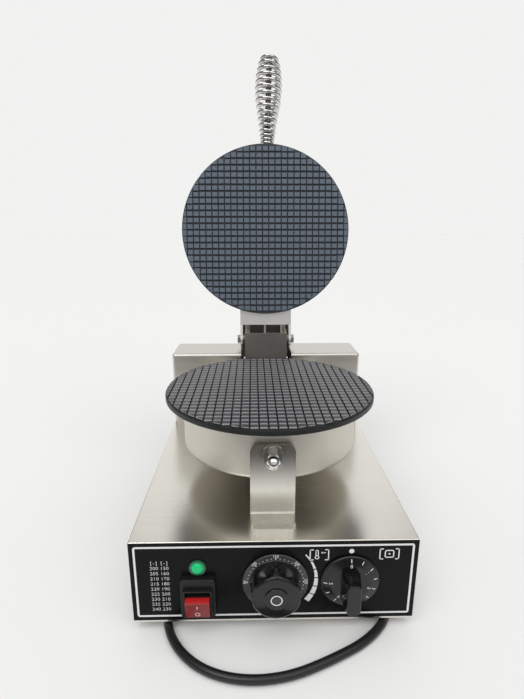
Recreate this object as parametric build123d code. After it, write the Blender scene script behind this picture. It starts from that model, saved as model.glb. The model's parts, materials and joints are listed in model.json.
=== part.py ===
from build123d import *

import math
import os

# Electric cone-wafer iron: a folded steel base with its controls on the front, a fixed lower
# baking plate, and a lid with the upper plate that swings back on a hinge column.
#
# Millimetres. X runs to the right, Y from the front face to the back, Z up from the surface the
# rubber feet stand on. The lid's pieces are modelled closed and then swung open to their stop.

# ---- driving dimensions: base -------------------------------------------------------------
base_width = 236.0
base_height = 77.8
base_sheet = 1.2
base_edge_radius = 1.0
foot_height = 9.7
foot_radius = 9.0
foot_inset_x = 12.0
foot_front_y = 60.0
foot_rear_inset = 45.0

# ---- driving dimensions: plates and drums -------------------------------------------------
plate_diameter = 208.0
plate_thickness = 6.4
plate_overhang = 17.0
plate_lift = 87.9
wafer_gap = 2.0
boss_thickness = 5.0
boss_margin = 12.0
drum_depth = 56.4
drum_sheet = 1.0
drum_edge_radius = 4.0

# ---- driving dimensions: heaters ----------------------------------------------------------
heater_ring_radius = 60.0
heater_tube_radius = 4.0
heater_gap_half_angle = 12.0
clamp_thickness = 2.0
clamp_margin = 14.0
clamp_screw_radius = 2.5
clamp_screw_ring = 38.0
insulation_clearance = 1.0

# ---- driving dimensions: brackets ---------------------------------------------------------
bracket_front_y = 34.4
bracket_width = 39.0
bracket_sheet = 2.5
bracket_gap = 1.5
bracket_rise = 67.6
bracket_foot = 16.0
bracket_rear_foot = 10.0
bracket_corner_radius = 8.0
bracket_foot_corner = 2.0
bracket_bend_radius = 2.25
bracket_inner_bend = 1.2
stud_radius = 4.0
stud_height = 56.0

# ---- driving dimensions: rear housing and hinge -------------------------------------------
housing_width = 234.2
housing_height = 91.0
housing_depth = 55.6
housing_clearance = 4.3
housing_bend_radius = 3.0
housing_rear_step = 0.7
notch_clearance = 5.0
notch_front_drop = 30.0
notch_rear_margin = 8.3
pivot_setback = 33.1
pivot_rise = 13.2
pivot_bolt_radius = 3.0
lid_open_angle = 99.35
column_outer_width = 53.0
column_sheet = 2.5
column_front_setback = 12.5
column_rear_setback = 15.5
column_rise = 33.4
stop_rise = 31.0
bush_flange_width = 2.9
arm_sheet = 3.0
arm_eye_radius = 9.0
arm_web_rise = 8.0
arm_web_end = 18.8
bush_radius = 4.5
running_clearance = 0.05
side_play = 0.1
rest_gap = 0.3

# ---- driving dimensions: handle -----------------------------------------------------------
handle_rise = 22.0
handle_length = 121.0
handle_turn = 1.5
handle_rod_radius = 3.6
handle_wire = 4.2
handle_neck_radius = 8.9
handle_belly_radius = 17.4
handle_top_radius = 11.0

# ---- driving dimensions: controls, as places on the front face below the base's top -------
control_drop = 37.75
thermostat_x = 1.0
timer_x = 62.5
switch_x = -62.5
switch_drop = 49.6
lamp_drop = 23.3
panel_film = 0.4
panel_side_margin = 0.3
panel_bottom_margin = 2.0
panel_top_margin = 0.6
bushing_radius = 4.5
shaft_radius = 3.0
dial_radius = 27.0
knob_radius = 20.2
knob_height = 20.6
timer_dial_radius = 24.0
timer_knob_height = 19.8
lamp_radius = 6.8
rocker_width = 19.6
rocker_length = 17.0
rocker_tilt = 12.0

# ---- driving dimensions: cord -------------------------------------------------------------
cord_radius = 3.7
cord_floor_gap = 0.2
gland_x = -78.0
gland_height = 33.5
gland_length = 34.0
coil_turn_radius = 40.0
coil_turns_across = 2
coil_layers = 1
coil_edge_radius = 2.96

# ---- places worked out from the dimensions above ------------------------------------------
plate_radius = plate_diameter / 2
drum_radius = plate_radius - plate_overhang
base_top = foot_height + base_height
plate_y = bracket_front_y + bracket_sheet + bracket_gap + drum_radius
plate_top = base_top + plate_lift
lid_face = plate_top + wafer_gap
housing_front = plate_y + plate_radius + housing_clearance
housing_rear = housing_front + housing_depth
housing_top = base_top + housing_height
base_depth = housing_rear + housing_rear_step
pivot_y = plate_y + plate_radius + pivot_setback
pivot_z = lid_face + pivot_rise
column_front = pivot_y - column_front_setback
column_rear = pivot_y + column_rear_setback
column_top = housing_top + column_rise
stop_top = housing_top + stop_rise
column_half = column_outer_width / 2
notch_half_width = column_half + notch_clearance
arm_inner = column_half + bush_flange_width + side_play
arm_half = arm_inner + arm_sheet
control_z = base_top - control_drop
switch_z = base_top - switch_drop
lamp_z = base_top - lamp_drop
face_y = -panel_film
cord_z = cord_radius + cord_floor_gap
cut_reach = 5.0


# ---- small shape makers -------------------------------------------------------------------
def block(x0, x1, y0, y1, z0, z1):
    centre = Pos((x0 + x1) / 2, (y0 + y1) / 2, (z0 + z1) / 2)
    return centre * Box(x1 - x0, y1 - y0, z1 - z0)


def rod_z(radius, z0, z1, x=0.0, y=0.0):
    return Pos(x, y, (z0 + z1) / 2) * Cylinder(radius, z1 - z0)


def rod_y(radius, y0, y1, x, z):
    return Pos(x, (y0 + y1) / 2, z) * Rot(90, 0, 0) * Cylinder(radius, y1 - y0)


def rod_x(radius, x0, x1, y, z):
    return Pos((x0 + x1) / 2, y, z) * Rot(0, 90, 0) * Cylinder(radius, x1 - x0)


def hex_prism(across_flats, length):
    return extrude(RegularPolygon(across_flats / 2, 6, major_radius=False), length)


def bend_radii(points, largest=math.inf):
    """Each bend's radius: as large as its two runs allow, up to the largest."""
    radii = []
    for before, here, after in zip(points, points[1:], points[2:]):
        a, b = Vector(*here) - Vector(*before), Vector(*after) - Vector(*here)
        turn = math.radians(a.get_angle(b))
        radii.append(min(largest, 0.45 * min(a.length, b.length) / math.tan(turn / 2)))
    return radii


def tube_path(points, largest=math.inf):
    return FilletPolyline(*points, radius=bend_radii(points, largest))


def swept(points, section_radius, largest=math.inf):
    path = tube_path(points, largest)
    start = Plane(origin=path @ 0, z_dir=path % 0)
    return sweep(start * Circle(section_radius), path=path)


def lead(points):
    """An insulated lead along its points."""
    return swept(points, lead_radius, lead_bend_radius)


def signed_block(side, x0, x1, y0, y1, z0, z1):
    """A block given for the right side, or its mirror image for side -1."""
    return block(min(side * x0, side * x1), max(side * x0, side * x1), y0, y1, z0, z1)


def signed_rod_x(side, radius, x0, x1, y, z):
    return rod_x(radius, min(side * x0, side * x1), max(side * x0, side * x1), y, z)


def shell_box(x0, x1, y0, y1, z0, z1, sheet, edge_radius):
    """A folded box with walls and a top, open underneath, its outer bends rounded."""
    outer = block(x0, x1, y0, y1, z0, z1)
    uprights = outer.edges().filter_by(Axis.Z)
    top_edges = outer.faces().sort_by(Axis.Z)[-1].edges()
    outer = fillet(list(uprights) + list(top_edges), edge_radius)
    hollow = block(x0 + sheet, x1 - sheet, y0 + sheet, y1 - sheet, z0 - sheet, z1 - sheet)
    return outer - hollow


def swing(shape):
    """Turns a piece of the closed lid about the hinge axis to its open rest."""
    return Pos(0, pivot_y, pivot_z) * Rot(-lid_open_angle, 0, 0) * Pos(0, -pivot_y, -pivot_z) * shape


def at_handle(piece):
    """Turns a piece of the handle round the closed lid's axis, so that it stays square to the drum's wall."""
    return Pos(0, plate_y, 0) * Rot(0, 0, handle_turn) * Pos(0, -plate_y, 0) * piece


# ---- base: shell, bottom pan, feet --------------------------------------------------------
conduit_radius = 9.0
conduit_y = plate_y + 45.0
well_half_width = 18.0
well_margin = 4.0
rocker_hole_width = 23.0
rocker_hole_height = 31.0
gland_radius = 8.0
pan_flange = 9.0
pan_gap = 0.1
pan_slot_length = 40.0
pan_slot_width = 4.0
pan_slot_pitch = 14.0
pan_slot_count = 7
pan_screw_radius = 2.0
pan_screw_height = 5.5
pan_screw_front = 25.0
pan_screw_rear = 30.0
pan_screw_length = 6.0
small_head_margin = 1.6
small_head_rise = 1.6
pan_slot_x = 47.2


def column_well():
    """The opening in the base's top between the hinge column's cheeks."""
    return block(-well_half_width, well_half_width, column_front + well_margin, column_rear - well_margin,
                 base_top - cut_reach, base_top + cut_reach)


def switch_hole():
    """The rectangular hole in the front that the switch's housing snaps into."""
    return block(switch_x - rocker_hole_width / 2, switch_x + rocker_hole_width / 2, -cut_reach, cut_reach,
                 switch_z - rocker_hole_height / 2, switch_z + rocker_hole_height / 2)


def make_base_shell():
    half = base_width / 2
    shell = shell_box(-half, half, 0, base_depth, foot_height, base_top, base_sheet, base_edge_radius)
    shell -= rod_y(bushing_radius, -cut_reach, cut_reach, thermostat_x, control_z)
    shell -= rod_y(bushing_radius, -cut_reach, cut_reach, timer_x, control_z)
    shell -= rod_y(lamp_stem_radius, -cut_reach, cut_reach, switch_x, lamp_z)
    shell -= switch_hole()
    shell -= rod_z(conduit_radius, base_top - cut_reach, base_top + cut_reach, 0, conduit_y)
    shell -= column_well()
    shell -= rod_y(gland_radius, base_depth - cut_reach, base_depth + cut_reach, gland_x, gland_height)
    for x, y in column_screw_places():
        shell -= rod_z(column_screw_radius, base_top - cut_reach, base_top + cut_reach, x, y)
    for side in (-1, 1):
        for y in pan_screw_rows():
            shell -= rod_x(pan_screw_radius, side * half - cut_reach, side * half + cut_reach, y,
                           foot_height + pan_screw_height)
    return shell


def pan_screw_rows():
    return (foot_front_y + pan_screw_front, base_depth - foot_rear_inset - pan_screw_rear)


def foot_places():
    x = base_width / 2 - foot_inset_x
    rows = (foot_front_y, base_depth - foot_rear_inset)
    return [(side * x, y) for y in rows for side in (-1, 1)]


def make_base_pan():
    inset = base_sheet + pan_gap
    x, y0, y1 = base_width / 2 - inset, inset, base_depth - inset
    tray = block(-x, x, y0, y1, foot_height, foot_height + pan_flange)
    tray -= block(-x + base_sheet, x - base_sheet, y0 + base_sheet, y1 - base_sheet,
                  foot_height + base_sheet, foot_height + pan_flange + cut_reach)
    for row in range(pan_slot_count):
        y = plate_y + (row - (pan_slot_count - 1) / 2) * pan_slot_pitch
        for side in (-1, 1):
            centre = side * pan_slot_x
            tray -= block(centre - pan_slot_length / 2, centre + pan_slot_length / 2,
                          y - pan_slot_width / 2, y + pan_slot_width / 2,
                          foot_height - cut_reach, foot_height + cut_reach)
    for x_foot, y_foot in foot_places():
        tray -= rod_z(foot_screw_radius, foot_height - cut_reach, foot_height + cut_reach, x_foot, y_foot)
    for side in (-1, 1):
        for y in pan_screw_rows():
            tray -= rod_x(pan_screw_radius, side * x - cut_reach, side * x + cut_reach, y,
                          foot_height + pan_screw_height)
    return tray


foot_screw_radius = 2.0
foot_screw_head_radius = 3.5
foot_taper = 1.0
foot_recess_radius = 4.5
foot_recess_depth = 5.0
foot_screw_head = 2.4
foot_screw_top = 7.0
foot_nut_across = 7.0
foot_nut_height = 3.2


def make_feet():
    feet = []
    for x, y in foot_places():
        foot = Pos(x, y, foot_height / 2) * Cone(foot_radius - foot_taper, foot_radius, foot_height)
        foot -= rod_z(foot_recess_radius, -cut_reach, foot_recess_depth, x, y)
        foot -= rod_z(foot_screw_radius, 0, foot_height + cut_reach, x, y)
        feet.append(foot)
    return feet


def make_foot_screws():
    screws = []
    for x, y in foot_places():
        head = rod_z(foot_screw_head_radius, foot_recess_depth - foot_screw_head, foot_recess_depth, x, y)
        screws.append(head + rod_z(foot_screw_radius, foot_recess_depth, foot_height + foot_screw_top, x, y))
    return screws


def make_foot_nuts():
    nuts = []
    for x, y in foot_places():
        nut = Pos(x, y, foot_height + base_sheet) * hex_prism(foot_nut_across, foot_nut_height)
        bore = rod_z(foot_screw_radius, foot_height, foot_height + foot_nut_height + cut_reach, x, y)
        nuts.append(nut - bore)
    return nuts


def make_pan_screws():
    screws = []
    x = base_width / 2
    z = foot_height + pan_screw_height
    for y in pan_screw_rows():
        for side in (-1, 1):
            shank = signed_rod_x(side, pan_screw_radius, x - pan_screw_length, x, y, z)
            head = signed_rod_x(side, pan_screw_radius + small_head_margin, x, x + small_head_rise, y, z)
            screws.append(shank + head)
    return screws


# ---- front film and its controls ----------------------------------------------------------
def make_front_film():
    half = base_width / 2 - panel_side_margin
    film = block(-half, half, face_y, 0, foot_height + panel_bottom_margin, base_top - panel_top_margin)
    film -= rod_y(bushing_radius, -cut_reach, cut_reach, thermostat_x, control_z)
    film -= rod_y(bushing_radius, -cut_reach, cut_reach, timer_x, control_z)
    film -= rod_y(lamp_stem_radius, -cut_reach, cut_reach, switch_x, lamp_z)
    film -= switch_hole()
    return film


lamp_rim_width = 1.5
lamp_stem_radius = lamp_radius - lamp_rim_width
lamp_tag_width = 4.0
tag_thickness = 0.8
lamp_seat_depth = 1.0
lamp_edge_radius = 2.6
lamp_body_depth = 24.0
lamp_tag_spacing = 5.0
lamp_tag_length = 8.0
lamp_rim_height = 1.6
lamp_dome_radius = 5.0
lamp_dome_height = 3.6


def make_lamp_body():
    rim = rod_y(lamp_radius, face_y - lamp_rim_height, face_y, switch_x, lamp_z)
    stem = rod_y(lamp_stem_radius, face_y, lamp_body_depth, switch_x, lamp_z)
    seat = rod_y(lamp_dome_radius, face_y - lamp_rim_height - lamp_seat_depth, face_y, switch_x, lamp_z)
    body = rim + stem - seat
    for side in (-1, 1):
        x = switch_x + side * lamp_tag_spacing / 2
        body += block(x - tag_thickness / 2, x + tag_thickness / 2, lamp_body_depth,
                      lamp_body_depth + lamp_tag_length,
                      lamp_z - lamp_tag_width / 2, lamp_z + lamp_tag_width / 2)
    return body


def make_lamp_lens():
    lens = rod_y(lamp_dome_radius, face_y - lamp_dome_height, face_y, switch_x, lamp_z)
    front = lens.faces().sort_by(Axis.Y)[0].edges()
    return fillet(front, lamp_edge_radius)


bezel_width = 28.5
bezel_height = 36.0
bezel_depth = 5.8
collar_width = 24.4
collar_height = 26.4
collar_drop = 3.0
collar_depth = 8.8
rocker_body_depth = 22.0
rocker_pivot_depth = 3.0
rocker_rise = 12.0
rocker_side_gap = 0.4
rocker_end_gap = 3.3
rocker_well_depth = 9.0
rocker_ear_wall = 0.6
switch_corner_radius = 2.0
bezel_edge_radius = 1.2
tag_width = 6.0
tag_length = 9.0
tag_step = 8.0


def flat_tag(x, y0, z):
    """A flat terminal that stands out behind a body, level."""
    return block(x - tag_width / 2, x + tag_width / 2, y0, y0 + tag_length, z - tag_thickness / 2,
                 z + tag_thickness / 2)


def rocker_centre_z():
    return switch_z - collar_drop


def make_rocker_body():
    x, z = switch_x, switch_z
    flange = block(x - bezel_width / 2, x + bezel_width / 2, face_y - bezel_depth, face_y,
                   z - bezel_height / 2, z + bezel_height / 2)
    flange = fillet(flange.edges().filter_by(Axis.Y), switch_corner_radius)
    front_edges = flange.faces().sort_by(Axis.Y)[0].edges()
    flange = fillet(front_edges, bezel_edge_radius)
    zc = z - collar_drop
    collar = block(x - collar_width / 2, x + collar_width / 2, face_y - collar_depth, face_y,
                   zc - collar_height / 2, zc + collar_height / 2)
    collar = fillet(collar.edges().filter_by(Axis.Y), switch_corner_radius)
    body = block(x - rocker_hole_width / 2, x + rocker_hole_width / 2, face_y, rocker_body_depth,
                 z - rocker_hole_height / 2, z + rocker_hole_height / 2)
    body = flange + collar + body
    zr = rocker_centre_z()
    well = block(x - rocker_width / 2 - rocker_side_gap, x + rocker_width / 2 + rocker_side_gap,
                 face_y - collar_depth - cut_reach, face_y + rocker_well_depth,
                 zr - rocker_length / 2 - rocker_end_gap,
                 zr + rocker_length / 2 + rocker_end_gap)
    body -= well
    axle = rod_x(rocker_axle_radius + running_clearance, x - rocker_hole_width / 2 + rocker_ear_wall,
                 x + rocker_hole_width / 2 - rocker_ear_wall, face_y + rocker_pivot_depth, zr)
    body -= axle
    for step in (-tag_step, 0, tag_step):
        body += flat_tag(x, rocker_body_depth, z + step)
    return body


rocker_axle_radius = 1.6
rocker_axle_reach = 0.9
rocker_foot_share = 0.45
rocker_foot_depth = 3.0
rocker_edge_radius = 0.9


def make_rocker_button():
    """The two-position button: modelled level, then tilted with its upper end standing out."""
    x, zr = switch_x, rocker_centre_z()
    half = rocker_length / 2
    y_pivot = face_y + rocker_pivot_depth
    y_face = face_y - rocker_rise
    side = Polyline((y_face, -half), (y_face, half), (y_pivot - rocker_foot_depth, half),
                    (y_pivot + rocker_foot_depth, half * rocker_foot_share),
                    (y_pivot + rocker_foot_depth, -half * rocker_foot_share),
                    (y_pivot - rocker_foot_depth, -half), close=True)
    profile = Plane(origin=(x - rocker_width / 2, 0, zr), x_dir=(0, 1, 0), z_dir=(1, 0, 0)) * make_face(side)
    button = extrude(profile, rocker_width)
    button = fillet(button.faces().sort_by(Axis.Y)[0].edges(), rocker_edge_radius)
    reach = rocker_width / 2 + rocker_axle_reach
    button += rod_x(rocker_axle_radius, x - reach, x + reach, y_pivot, zr)
    return Pos(x, y_pivot, zr) * Rot(rocker_tilt, 0, 0) * Pos(-x, -y_pivot, -zr) * button


bushing_nut_across = 14.0
bushing_nut_height = 0.8
thermostat_body = (38.0, 30.0, 34.0)
timer_body = (46.0, 40.0, 48.0)
knob_back_gap = 0.5
body_corner_radius = 3.0
shaft_in_knob = 6.0
shaft_end_wall = 4.0
shaft_end_gap = 1.0


def make_control_body(x, size):
    """A switch body behind the front wall, with the threaded bushing its shaft turns in."""
    width, depth, height = size
    body = block(x - width / 2, x + width / 2, base_sheet, base_sheet + depth,
                 control_z - height / 2, control_z + height / 2)
    body = fillet(body.edges().filter_by(Axis.Y), body_corner_radius)
    body += rod_y(bushing_radius, face_y - bushing_nut_height, base_sheet, x, control_z)
    body -= rod_y(shaft_radius + running_clearance, face_y - cut_reach, base_sheet + depth - shaft_end_wall,
                  x, control_z)
    for step in (-1, 1):
        z = control_z + step * height / 4
        body += flat_tag(x, base_sheet + depth, z)
    return body


def make_bushing_nuts():
    nuts = []
    for x in (thermostat_x, timer_x):
        nut = Pos(x, face_y, control_z) * Rot(90, 0, 0) * hex_prism(bushing_nut_across, bushing_nut_height)
        nuts.append(nut - rod_y(bushing_radius, face_y - cut_reach, face_y + cut_reach, x, control_z))
    return nuts


def make_shaft(x, body_depth, knob_height_here):
    front = face_y - knob_height_here + shaft_in_knob
    return rod_y(shaft_radius, front, base_sheet + body_depth - shaft_end_wall - shaft_end_gap, x, control_z)


knob_skirt_thickness = 1.0
knob_scoop_count = 6
knob_scoop_radius = 13.4
knob_scoop_reach = 8.2
knob_scoop_depth = 3.5
knob_hub_radius = 9.8
knob_hub_step = 1.2
knob_hub_root = 4.0
knob_taper = 1.0
knob_edge_radius = 2.0
nut_room_margin = 1.5
nut_room_depth = 1.6
knob_cap_radius = 5.0
knob_cap_thickness = 1.5
knob_cap_rise = 0.4
knob_back = face_y - bushing_nut_height - knob_back_gap


def knob_recess(x, knob_front):
    """What a knob leaves free for the bushing nut and the shaft it is pressed on."""
    nut_room = rod_y(bushing_nut_across / 2 + nut_room_margin, knob_back - nut_room_depth,
                     knob_back + cut_reach, x, control_z)
    bore = rod_y(shaft_radius, knob_front + shaft_in_knob, knob_back + cut_reach, x, control_z)
    return nut_room + bore


def make_thermostat_knob():
    x = thermostat_x
    front = face_y - knob_height
    skirt = rod_y(dial_radius, knob_back - knob_skirt_thickness, knob_back, x, control_z)
    grip = Pos(x, (knob_back + front + knob_hub_step) / 2, control_z) * Rot(90, 0, 0) * Cone(
        knob_radius + knob_taper, knob_radius, knob_back - front - knob_hub_step)
    grip = fillet(grip.faces().sort_by(Axis.Y)[0].edges(), knob_edge_radius)
    for n in range(knob_scoop_count):
        angle = math.radians(360 / knob_scoop_count * (n + 0.5) + 90)
        reach = knob_radius + knob_scoop_reach
        across, up = reach * math.cos(angle), reach * math.sin(angle)
        grip -= Pos(x + across, front + knob_scoop_depth, control_z + up) * Sphere(knob_scoop_radius)
    hub = rod_y(knob_hub_radius, front, knob_back - knob_hub_root, x, control_z)
    knob = skirt + grip + hub
    knob -= rod_y(knob_cap_radius, front - cut_reach, front + knob_cap_thickness, x, control_z)
    return knob - knob_recess(x, front)


def make_knob_cap():
    front = face_y - knob_height
    return rod_y(knob_cap_radius, front - knob_cap_rise, front + knob_cap_thickness, thermostat_x, control_z)


timer_skirt_thickness = 4.4
timer_rim_thickness = 2.8
timer_rim_edge = 0.8
timer_flat_radius = 16.5
timer_bar_flare = 4.6
timer_bar_width = 11.0
timer_bar_up = 11.0
timer_bar_down = 18.0
timer_bar_root = 0.5
timer_bar_end_taper = 1.5
timer_foot_corner = 4.0
timer_head_corner = 3.4
timer_bar_edge = 1.0


def make_timer_knob():
    x = timer_x
    front = face_y - timer_knob_height
    skirt_front = face_y - timer_skirt_thickness
    rim_front = face_y - timer_rim_thickness
    skirt = rod_y(timer_dial_radius, rim_front, knob_back, x, control_z)
    slope = Pos(x, (rim_front + skirt_front) / 2, control_z) * Rot(90, 0, 0) * Cone(
        timer_dial_radius - timer_rim_edge, timer_flat_radius, rim_front - skirt_front)
    skirt = fillet(skirt.faces().sort_by(Axis.Y)[0].edges(), timer_rim_edge) + slope
    foot = Rectangle(timer_bar_width + timer_bar_flare, timer_bar_up + timer_bar_down)
    head = Rectangle(timer_bar_width, timer_bar_up + timer_bar_down - timer_bar_end_taper)
    drop = (timer_bar_up - timer_bar_down) / 2
    root_y = skirt_front + timer_bar_root
    rear_plane = Plane(origin=(x, root_y, control_z + drop), x_dir=(1, 0, 0), z_dir=(0, -1, 0))
    front_plane = Plane(origin=(x, front, control_z + drop), x_dir=(1, 0, 0), z_dir=(0, -1, 0))
    bar = loft([rear_plane * fillet(foot.vertices(), timer_foot_corner),
                front_plane * fillet(head.vertices(), timer_head_corner)])
    bar = fillet(bar.faces().sort_by(Axis.Y)[0].edges(), timer_bar_edge)
    return skirt + bar - knob_recess(x, front)


# ---- base: what the bottom holds ----------------------------------------------------------
terminal_size = (60.0, 16.0, 14.0)
terminal_x = -50.0
terminal_y = 232.0
terminal_poles = 6
terminal_bore = 2.0
terminal_bore_height = 4.5
terminal_mouth_depth = 4.0
terminal_screw_depth = 5.0
earth_stud_radius = 2.0
earth_stud_gap = 16.0
earth_stud_height = 14.0
earth_flange_margin = 3.0
earth_flange_thickness = 1.2
earth_nut_rise = 4.0
earth_nut_across = 7.0
earth_nut_height = 3.2
lead_radius = 1.3
lead_bend_radius = 8.0
lead_spacing = 3.2
floor_in_base = foot_height + base_sheet
lead_z = floor_in_base + terminal_bore_height


def pole_x(pole):
    pitch = terminal_size[0] / terminal_poles
    return terminal_x + (pole - (terminal_poles - 1) / 2) * pitch


def terminal_mouth(pole, side):
    """Where a lead ends inside a pole, entered from the front (-1) or the back (1)."""
    return (pole_x(pole), terminal_y + side * (terminal_size[1] / 2 - terminal_mouth_depth), lead_z)


def make_terminal_block():
    width, depth, height = terminal_size
    z0 = floor_in_base
    body = block(terminal_x - width / 2, terminal_x + width / 2, terminal_y - depth / 2,
                 terminal_y + depth / 2, z0, z0 + height)
    for pole in range(terminal_poles):
        body -= rod_z(terminal_bore, z0 + height - terminal_screw_depth, z0 + height + cut_reach,
                      pole_x(pole), terminal_y)
        for side in (-1, 1):
            mouth_y = terminal_mouth(pole, side)[1]
            face = terminal_y + side * depth
            body -= rod_y(terminal_bore, min(mouth_y, face), max(mouth_y, face), pole_x(pole), lead_z)
    return body


def make_earth_stud():
    x, y = terminal_x + terminal_size[0] / 2 + earth_stud_gap, terminal_y
    z0 = floor_in_base
    stud = rod_z(earth_stud_radius, z0, z0 + earth_stud_height, x, y)
    flange = rod_z(earth_stud_radius + earth_flange_margin, z0, z0 + earth_flange_thickness, x, y)
    nut = Pos(x, y, z0 + earth_nut_rise) * hex_prism(earth_nut_across, earth_nut_height)
    return stud + flange + nut


def make_base_leads():
    """The leads in the base: supply, controls, lamp, and the lid's leads below the column."""
    leads = []
    for n in range(2):
        end = terminal_mouth(n, 1)
        x = gland_x + (n - 0.5) * lead_spacing
        start_y = base_depth + gland_length - cord_start_in_boot
        leads.append(lead([(x, start_y, gland_height), (x, base_depth - 18, gland_height),
                           (end[0], terminal_y + 20, lead_z), end]))
    tag = rocker_body_depth + tag_length
    end = terminal_mouth(0, -1)
    leads.append(lead([end, (end[0], 200, lead_z), (switch_x - 4, 110, lead_z),
                       (switch_x, tag + 22, lead_z + 2), (switch_x, tag + 8, switch_z - tag_step),
                       (switch_x, tag, switch_z - tag_step)]))
    tag = base_sheet + thermostat_body[1] + tag_length
    end = terminal_mouth(1, -1)
    z = control_z - thermostat_body[2] / 4
    leads.append(lead([end, (end[0], 200, lead_z), (-22, 140, lead_z), (thermostat_x, 78, lead_z + 2),
                       (thermostat_x, tag + 12, z), (thermostat_x, tag, z)]))
    tag = base_sheet + timer_body[1] + tag_length
    end = terminal_mouth(2, -1)
    z = control_z - timer_body[2] / 4
    leads.append(lead([end, (end[0], 198, lead_z), (36, 150, lead_z), (timer_x, 94, lead_z + 2),
                       (timer_x, tag + 12, z), (timer_x, tag, z)]))
    tag = rocker_body_depth + tag_length
    lamp_tag = lamp_body_depth + lamp_tag_length
    x = switch_x - lamp_tag_spacing / 2
    leads.append(lead([(x, lamp_tag, lamp_z), (x, lamp_tag + 9, lamp_z),
                       (switch_x, tag + 8, switch_z + tag_step), (switch_x, tag, switch_z + tag_step)]))
    for pole, x in ((4, lid_lead_low[0]), (5, lid_lead_low[1])):
        end = terminal_mouth(pole, 1)
        leads.append(lead([(x, lid_lead_y, base_top - lead_end_drop), (x, lid_lead_y, lead_z + 24),
                           (end[0], terminal_y + 20, lead_z), end]))
    return leads


# ---- brackets that carry the lower drum ---------------------------------------------------
def make_bracket(upright_y, foot_y):
    """An L-shaped strip: the upright's outer face is at upright_y, the foot ends at foot_y."""
    outward = 1 if foot_y > upright_y else -1
    inner = upright_y - outward * bracket_sheet
    half = bracket_width / 2
    top = base_top + bracket_rise
    upright = block(-half, half, min(inner, upright_y), max(inner, upright_y), base_top, top)
    upper_corners = upright.edges().filter_by(Axis.Y).group_by(Axis.Z)[-1]
    upright = fillet(upper_corners, bracket_corner_radius)
    foot = block(-half, half, min(inner, foot_y), max(inner, foot_y), base_top, base_top + bracket_sheet)
    tips = foot.edges().filter_by(Axis.Z).sort_by(Axis.Y)
    foot = fillet(tips[-2:] if outward > 0 else tips[:2], bracket_foot_corner)
    strip = upright + foot
    bend = [e for e in strip.edges().filter_by(Axis.X) if abs(e.center().Y - inner) < 0.01
            and abs(e.center().Z - base_top) < 0.01]
    strip = fillet(bend, bracket_bend_radius)
    inside = [e for e in strip.edges().filter_by(Axis.X) if abs(e.center().Y - upright_y) < 0.01
              and abs(e.center().Z - base_top - bracket_sheet) < 0.01]
    strip = fillet(inside, bracket_inner_bend)
    reach = bracket_sheet + cut_reach
    return strip - rod_y(stud_radius, upright_y - reach, upright_y + reach, 0, base_top + stud_height)


front_upright = bracket_front_y
rear_upright = plate_y + drum_radius + bracket_gap + bracket_sheet
flat_on_curve = 0.4
washer_radius = 11.0
washer_thickness = 1.6
stud_nut_across = 13.0
stud_nut_height = 6.5
dome_radius = 6.2
dome_rise = 1.0
stud_outside = 8.0
stud_inside = 9.0


def make_studs():
    z = base_top + stud_height
    front = rod_y(stud_radius, front_upright - washer_thickness - stud_outside,
                  plate_y - drum_radius + stud_inside, 0, z)
    rear = rod_y(stud_radius, plate_y + drum_radius - stud_inside,
                 rear_upright + washer_thickness + stud_outside, 0, z)
    return [front, rear]


def make_stud_washers():
    z = base_top + stud_height
    washers = []
    for y0, y1 in ((front_upright - washer_thickness, front_upright),
                   (rear_upright, rear_upright + washer_thickness)):
        bore = rod_y(stud_radius, y0 - cut_reach, y1 + cut_reach, 0, z)
        washers.append(rod_y(washer_radius, y0, y1, 0, z) - bore)
    return washers


def make_dome_nut():
    z = base_top + stud_height
    y = front_upright - washer_thickness
    nut = Pos(0, y, z) * Rot(90, 0, 0) * hex_prism(stud_nut_across, stud_nut_height)
    dome = rod_y(dome_radius, y - stud_nut_height - dome_rise, y, 0, z)
    dome += Pos(0, y - stud_nut_height - dome_rise, z) * Sphere(dome_radius)
    return nut + dome - rod_y(stud_radius, y - stud_outside, y + cut_reach, 0, z)


def make_stud_nuts():
    """Plain nuts: one outside the rear bracket and one inside the drum on each stud."""
    z = base_top + stud_height
    nuts = []
    inside = drum_radius - drum_sheet - flat_on_curve
    for y0 in (rear_upright + washer_thickness + stud_nut_height,
               plate_y - inside + stud_nut_height, plate_y + inside):
        nut = Pos(0, y0, z) * Rot(90, 0, 0) * hex_prism(stud_nut_across, stud_nut_height)
        nuts.append(nut - rod_y(stud_radius, y0 - 20, y0 + 20, 0, z))
    return nuts


# ---- a baking plate and what is stacked behind it, face at z = 0 and backing below -------
boss_radius = drum_radius - boss_margin
clamp_radius = drum_radius - clamp_margin
heater_groove_depth = 3.0
heater_z = -(plate_thickness + boss_thickness + heater_tube_radius - heater_groove_depth)
clamp_gap = 0.2
clamp_top = heater_z - heater_tube_radius - clamp_gap
clamp_bottom = clamp_top - clamp_thickness
screw_head_height = 3.0
screw_head_across = 8.0
screw_depth_in_plate = 2.0
insulation_gap = 2.5
insulation_top = clamp_bottom - screw_head_height - insulation_gap
leg_angle = math.radians(90 - heater_gap_half_angle)
leg_x = heater_ring_radius * math.cos(leg_angle)
leg_y = heater_ring_radius * math.sin(leg_angle)
leg_length = 8.0
leg_bottom = clamp_bottom - leg_length
leg_pin_radius = 1.6
leg_pin_length = 6.0
well_side = 8.0
well_before_conduit = 2.0
well_behind_legs = 20.0
clamp_notch_front = 8.0
clamp_notch_rear = 30.0
well_x = leg_x + well_side
well_y0 = conduit_y - plate_y - conduit_radius - well_before_conduit
well_y1 = leg_y + well_behind_legs
plate_edge_radius = 0.8
side_slot_half = 22.0
side_slot_depth = 16.0
bulb_radius = 2.3
bulb_y = 18.0
bulb_half_length = 30.0
capillary_offset = 3.0
clamp_capillary_radius = 4.0
insulation_capillary_radius = 5.0


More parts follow.
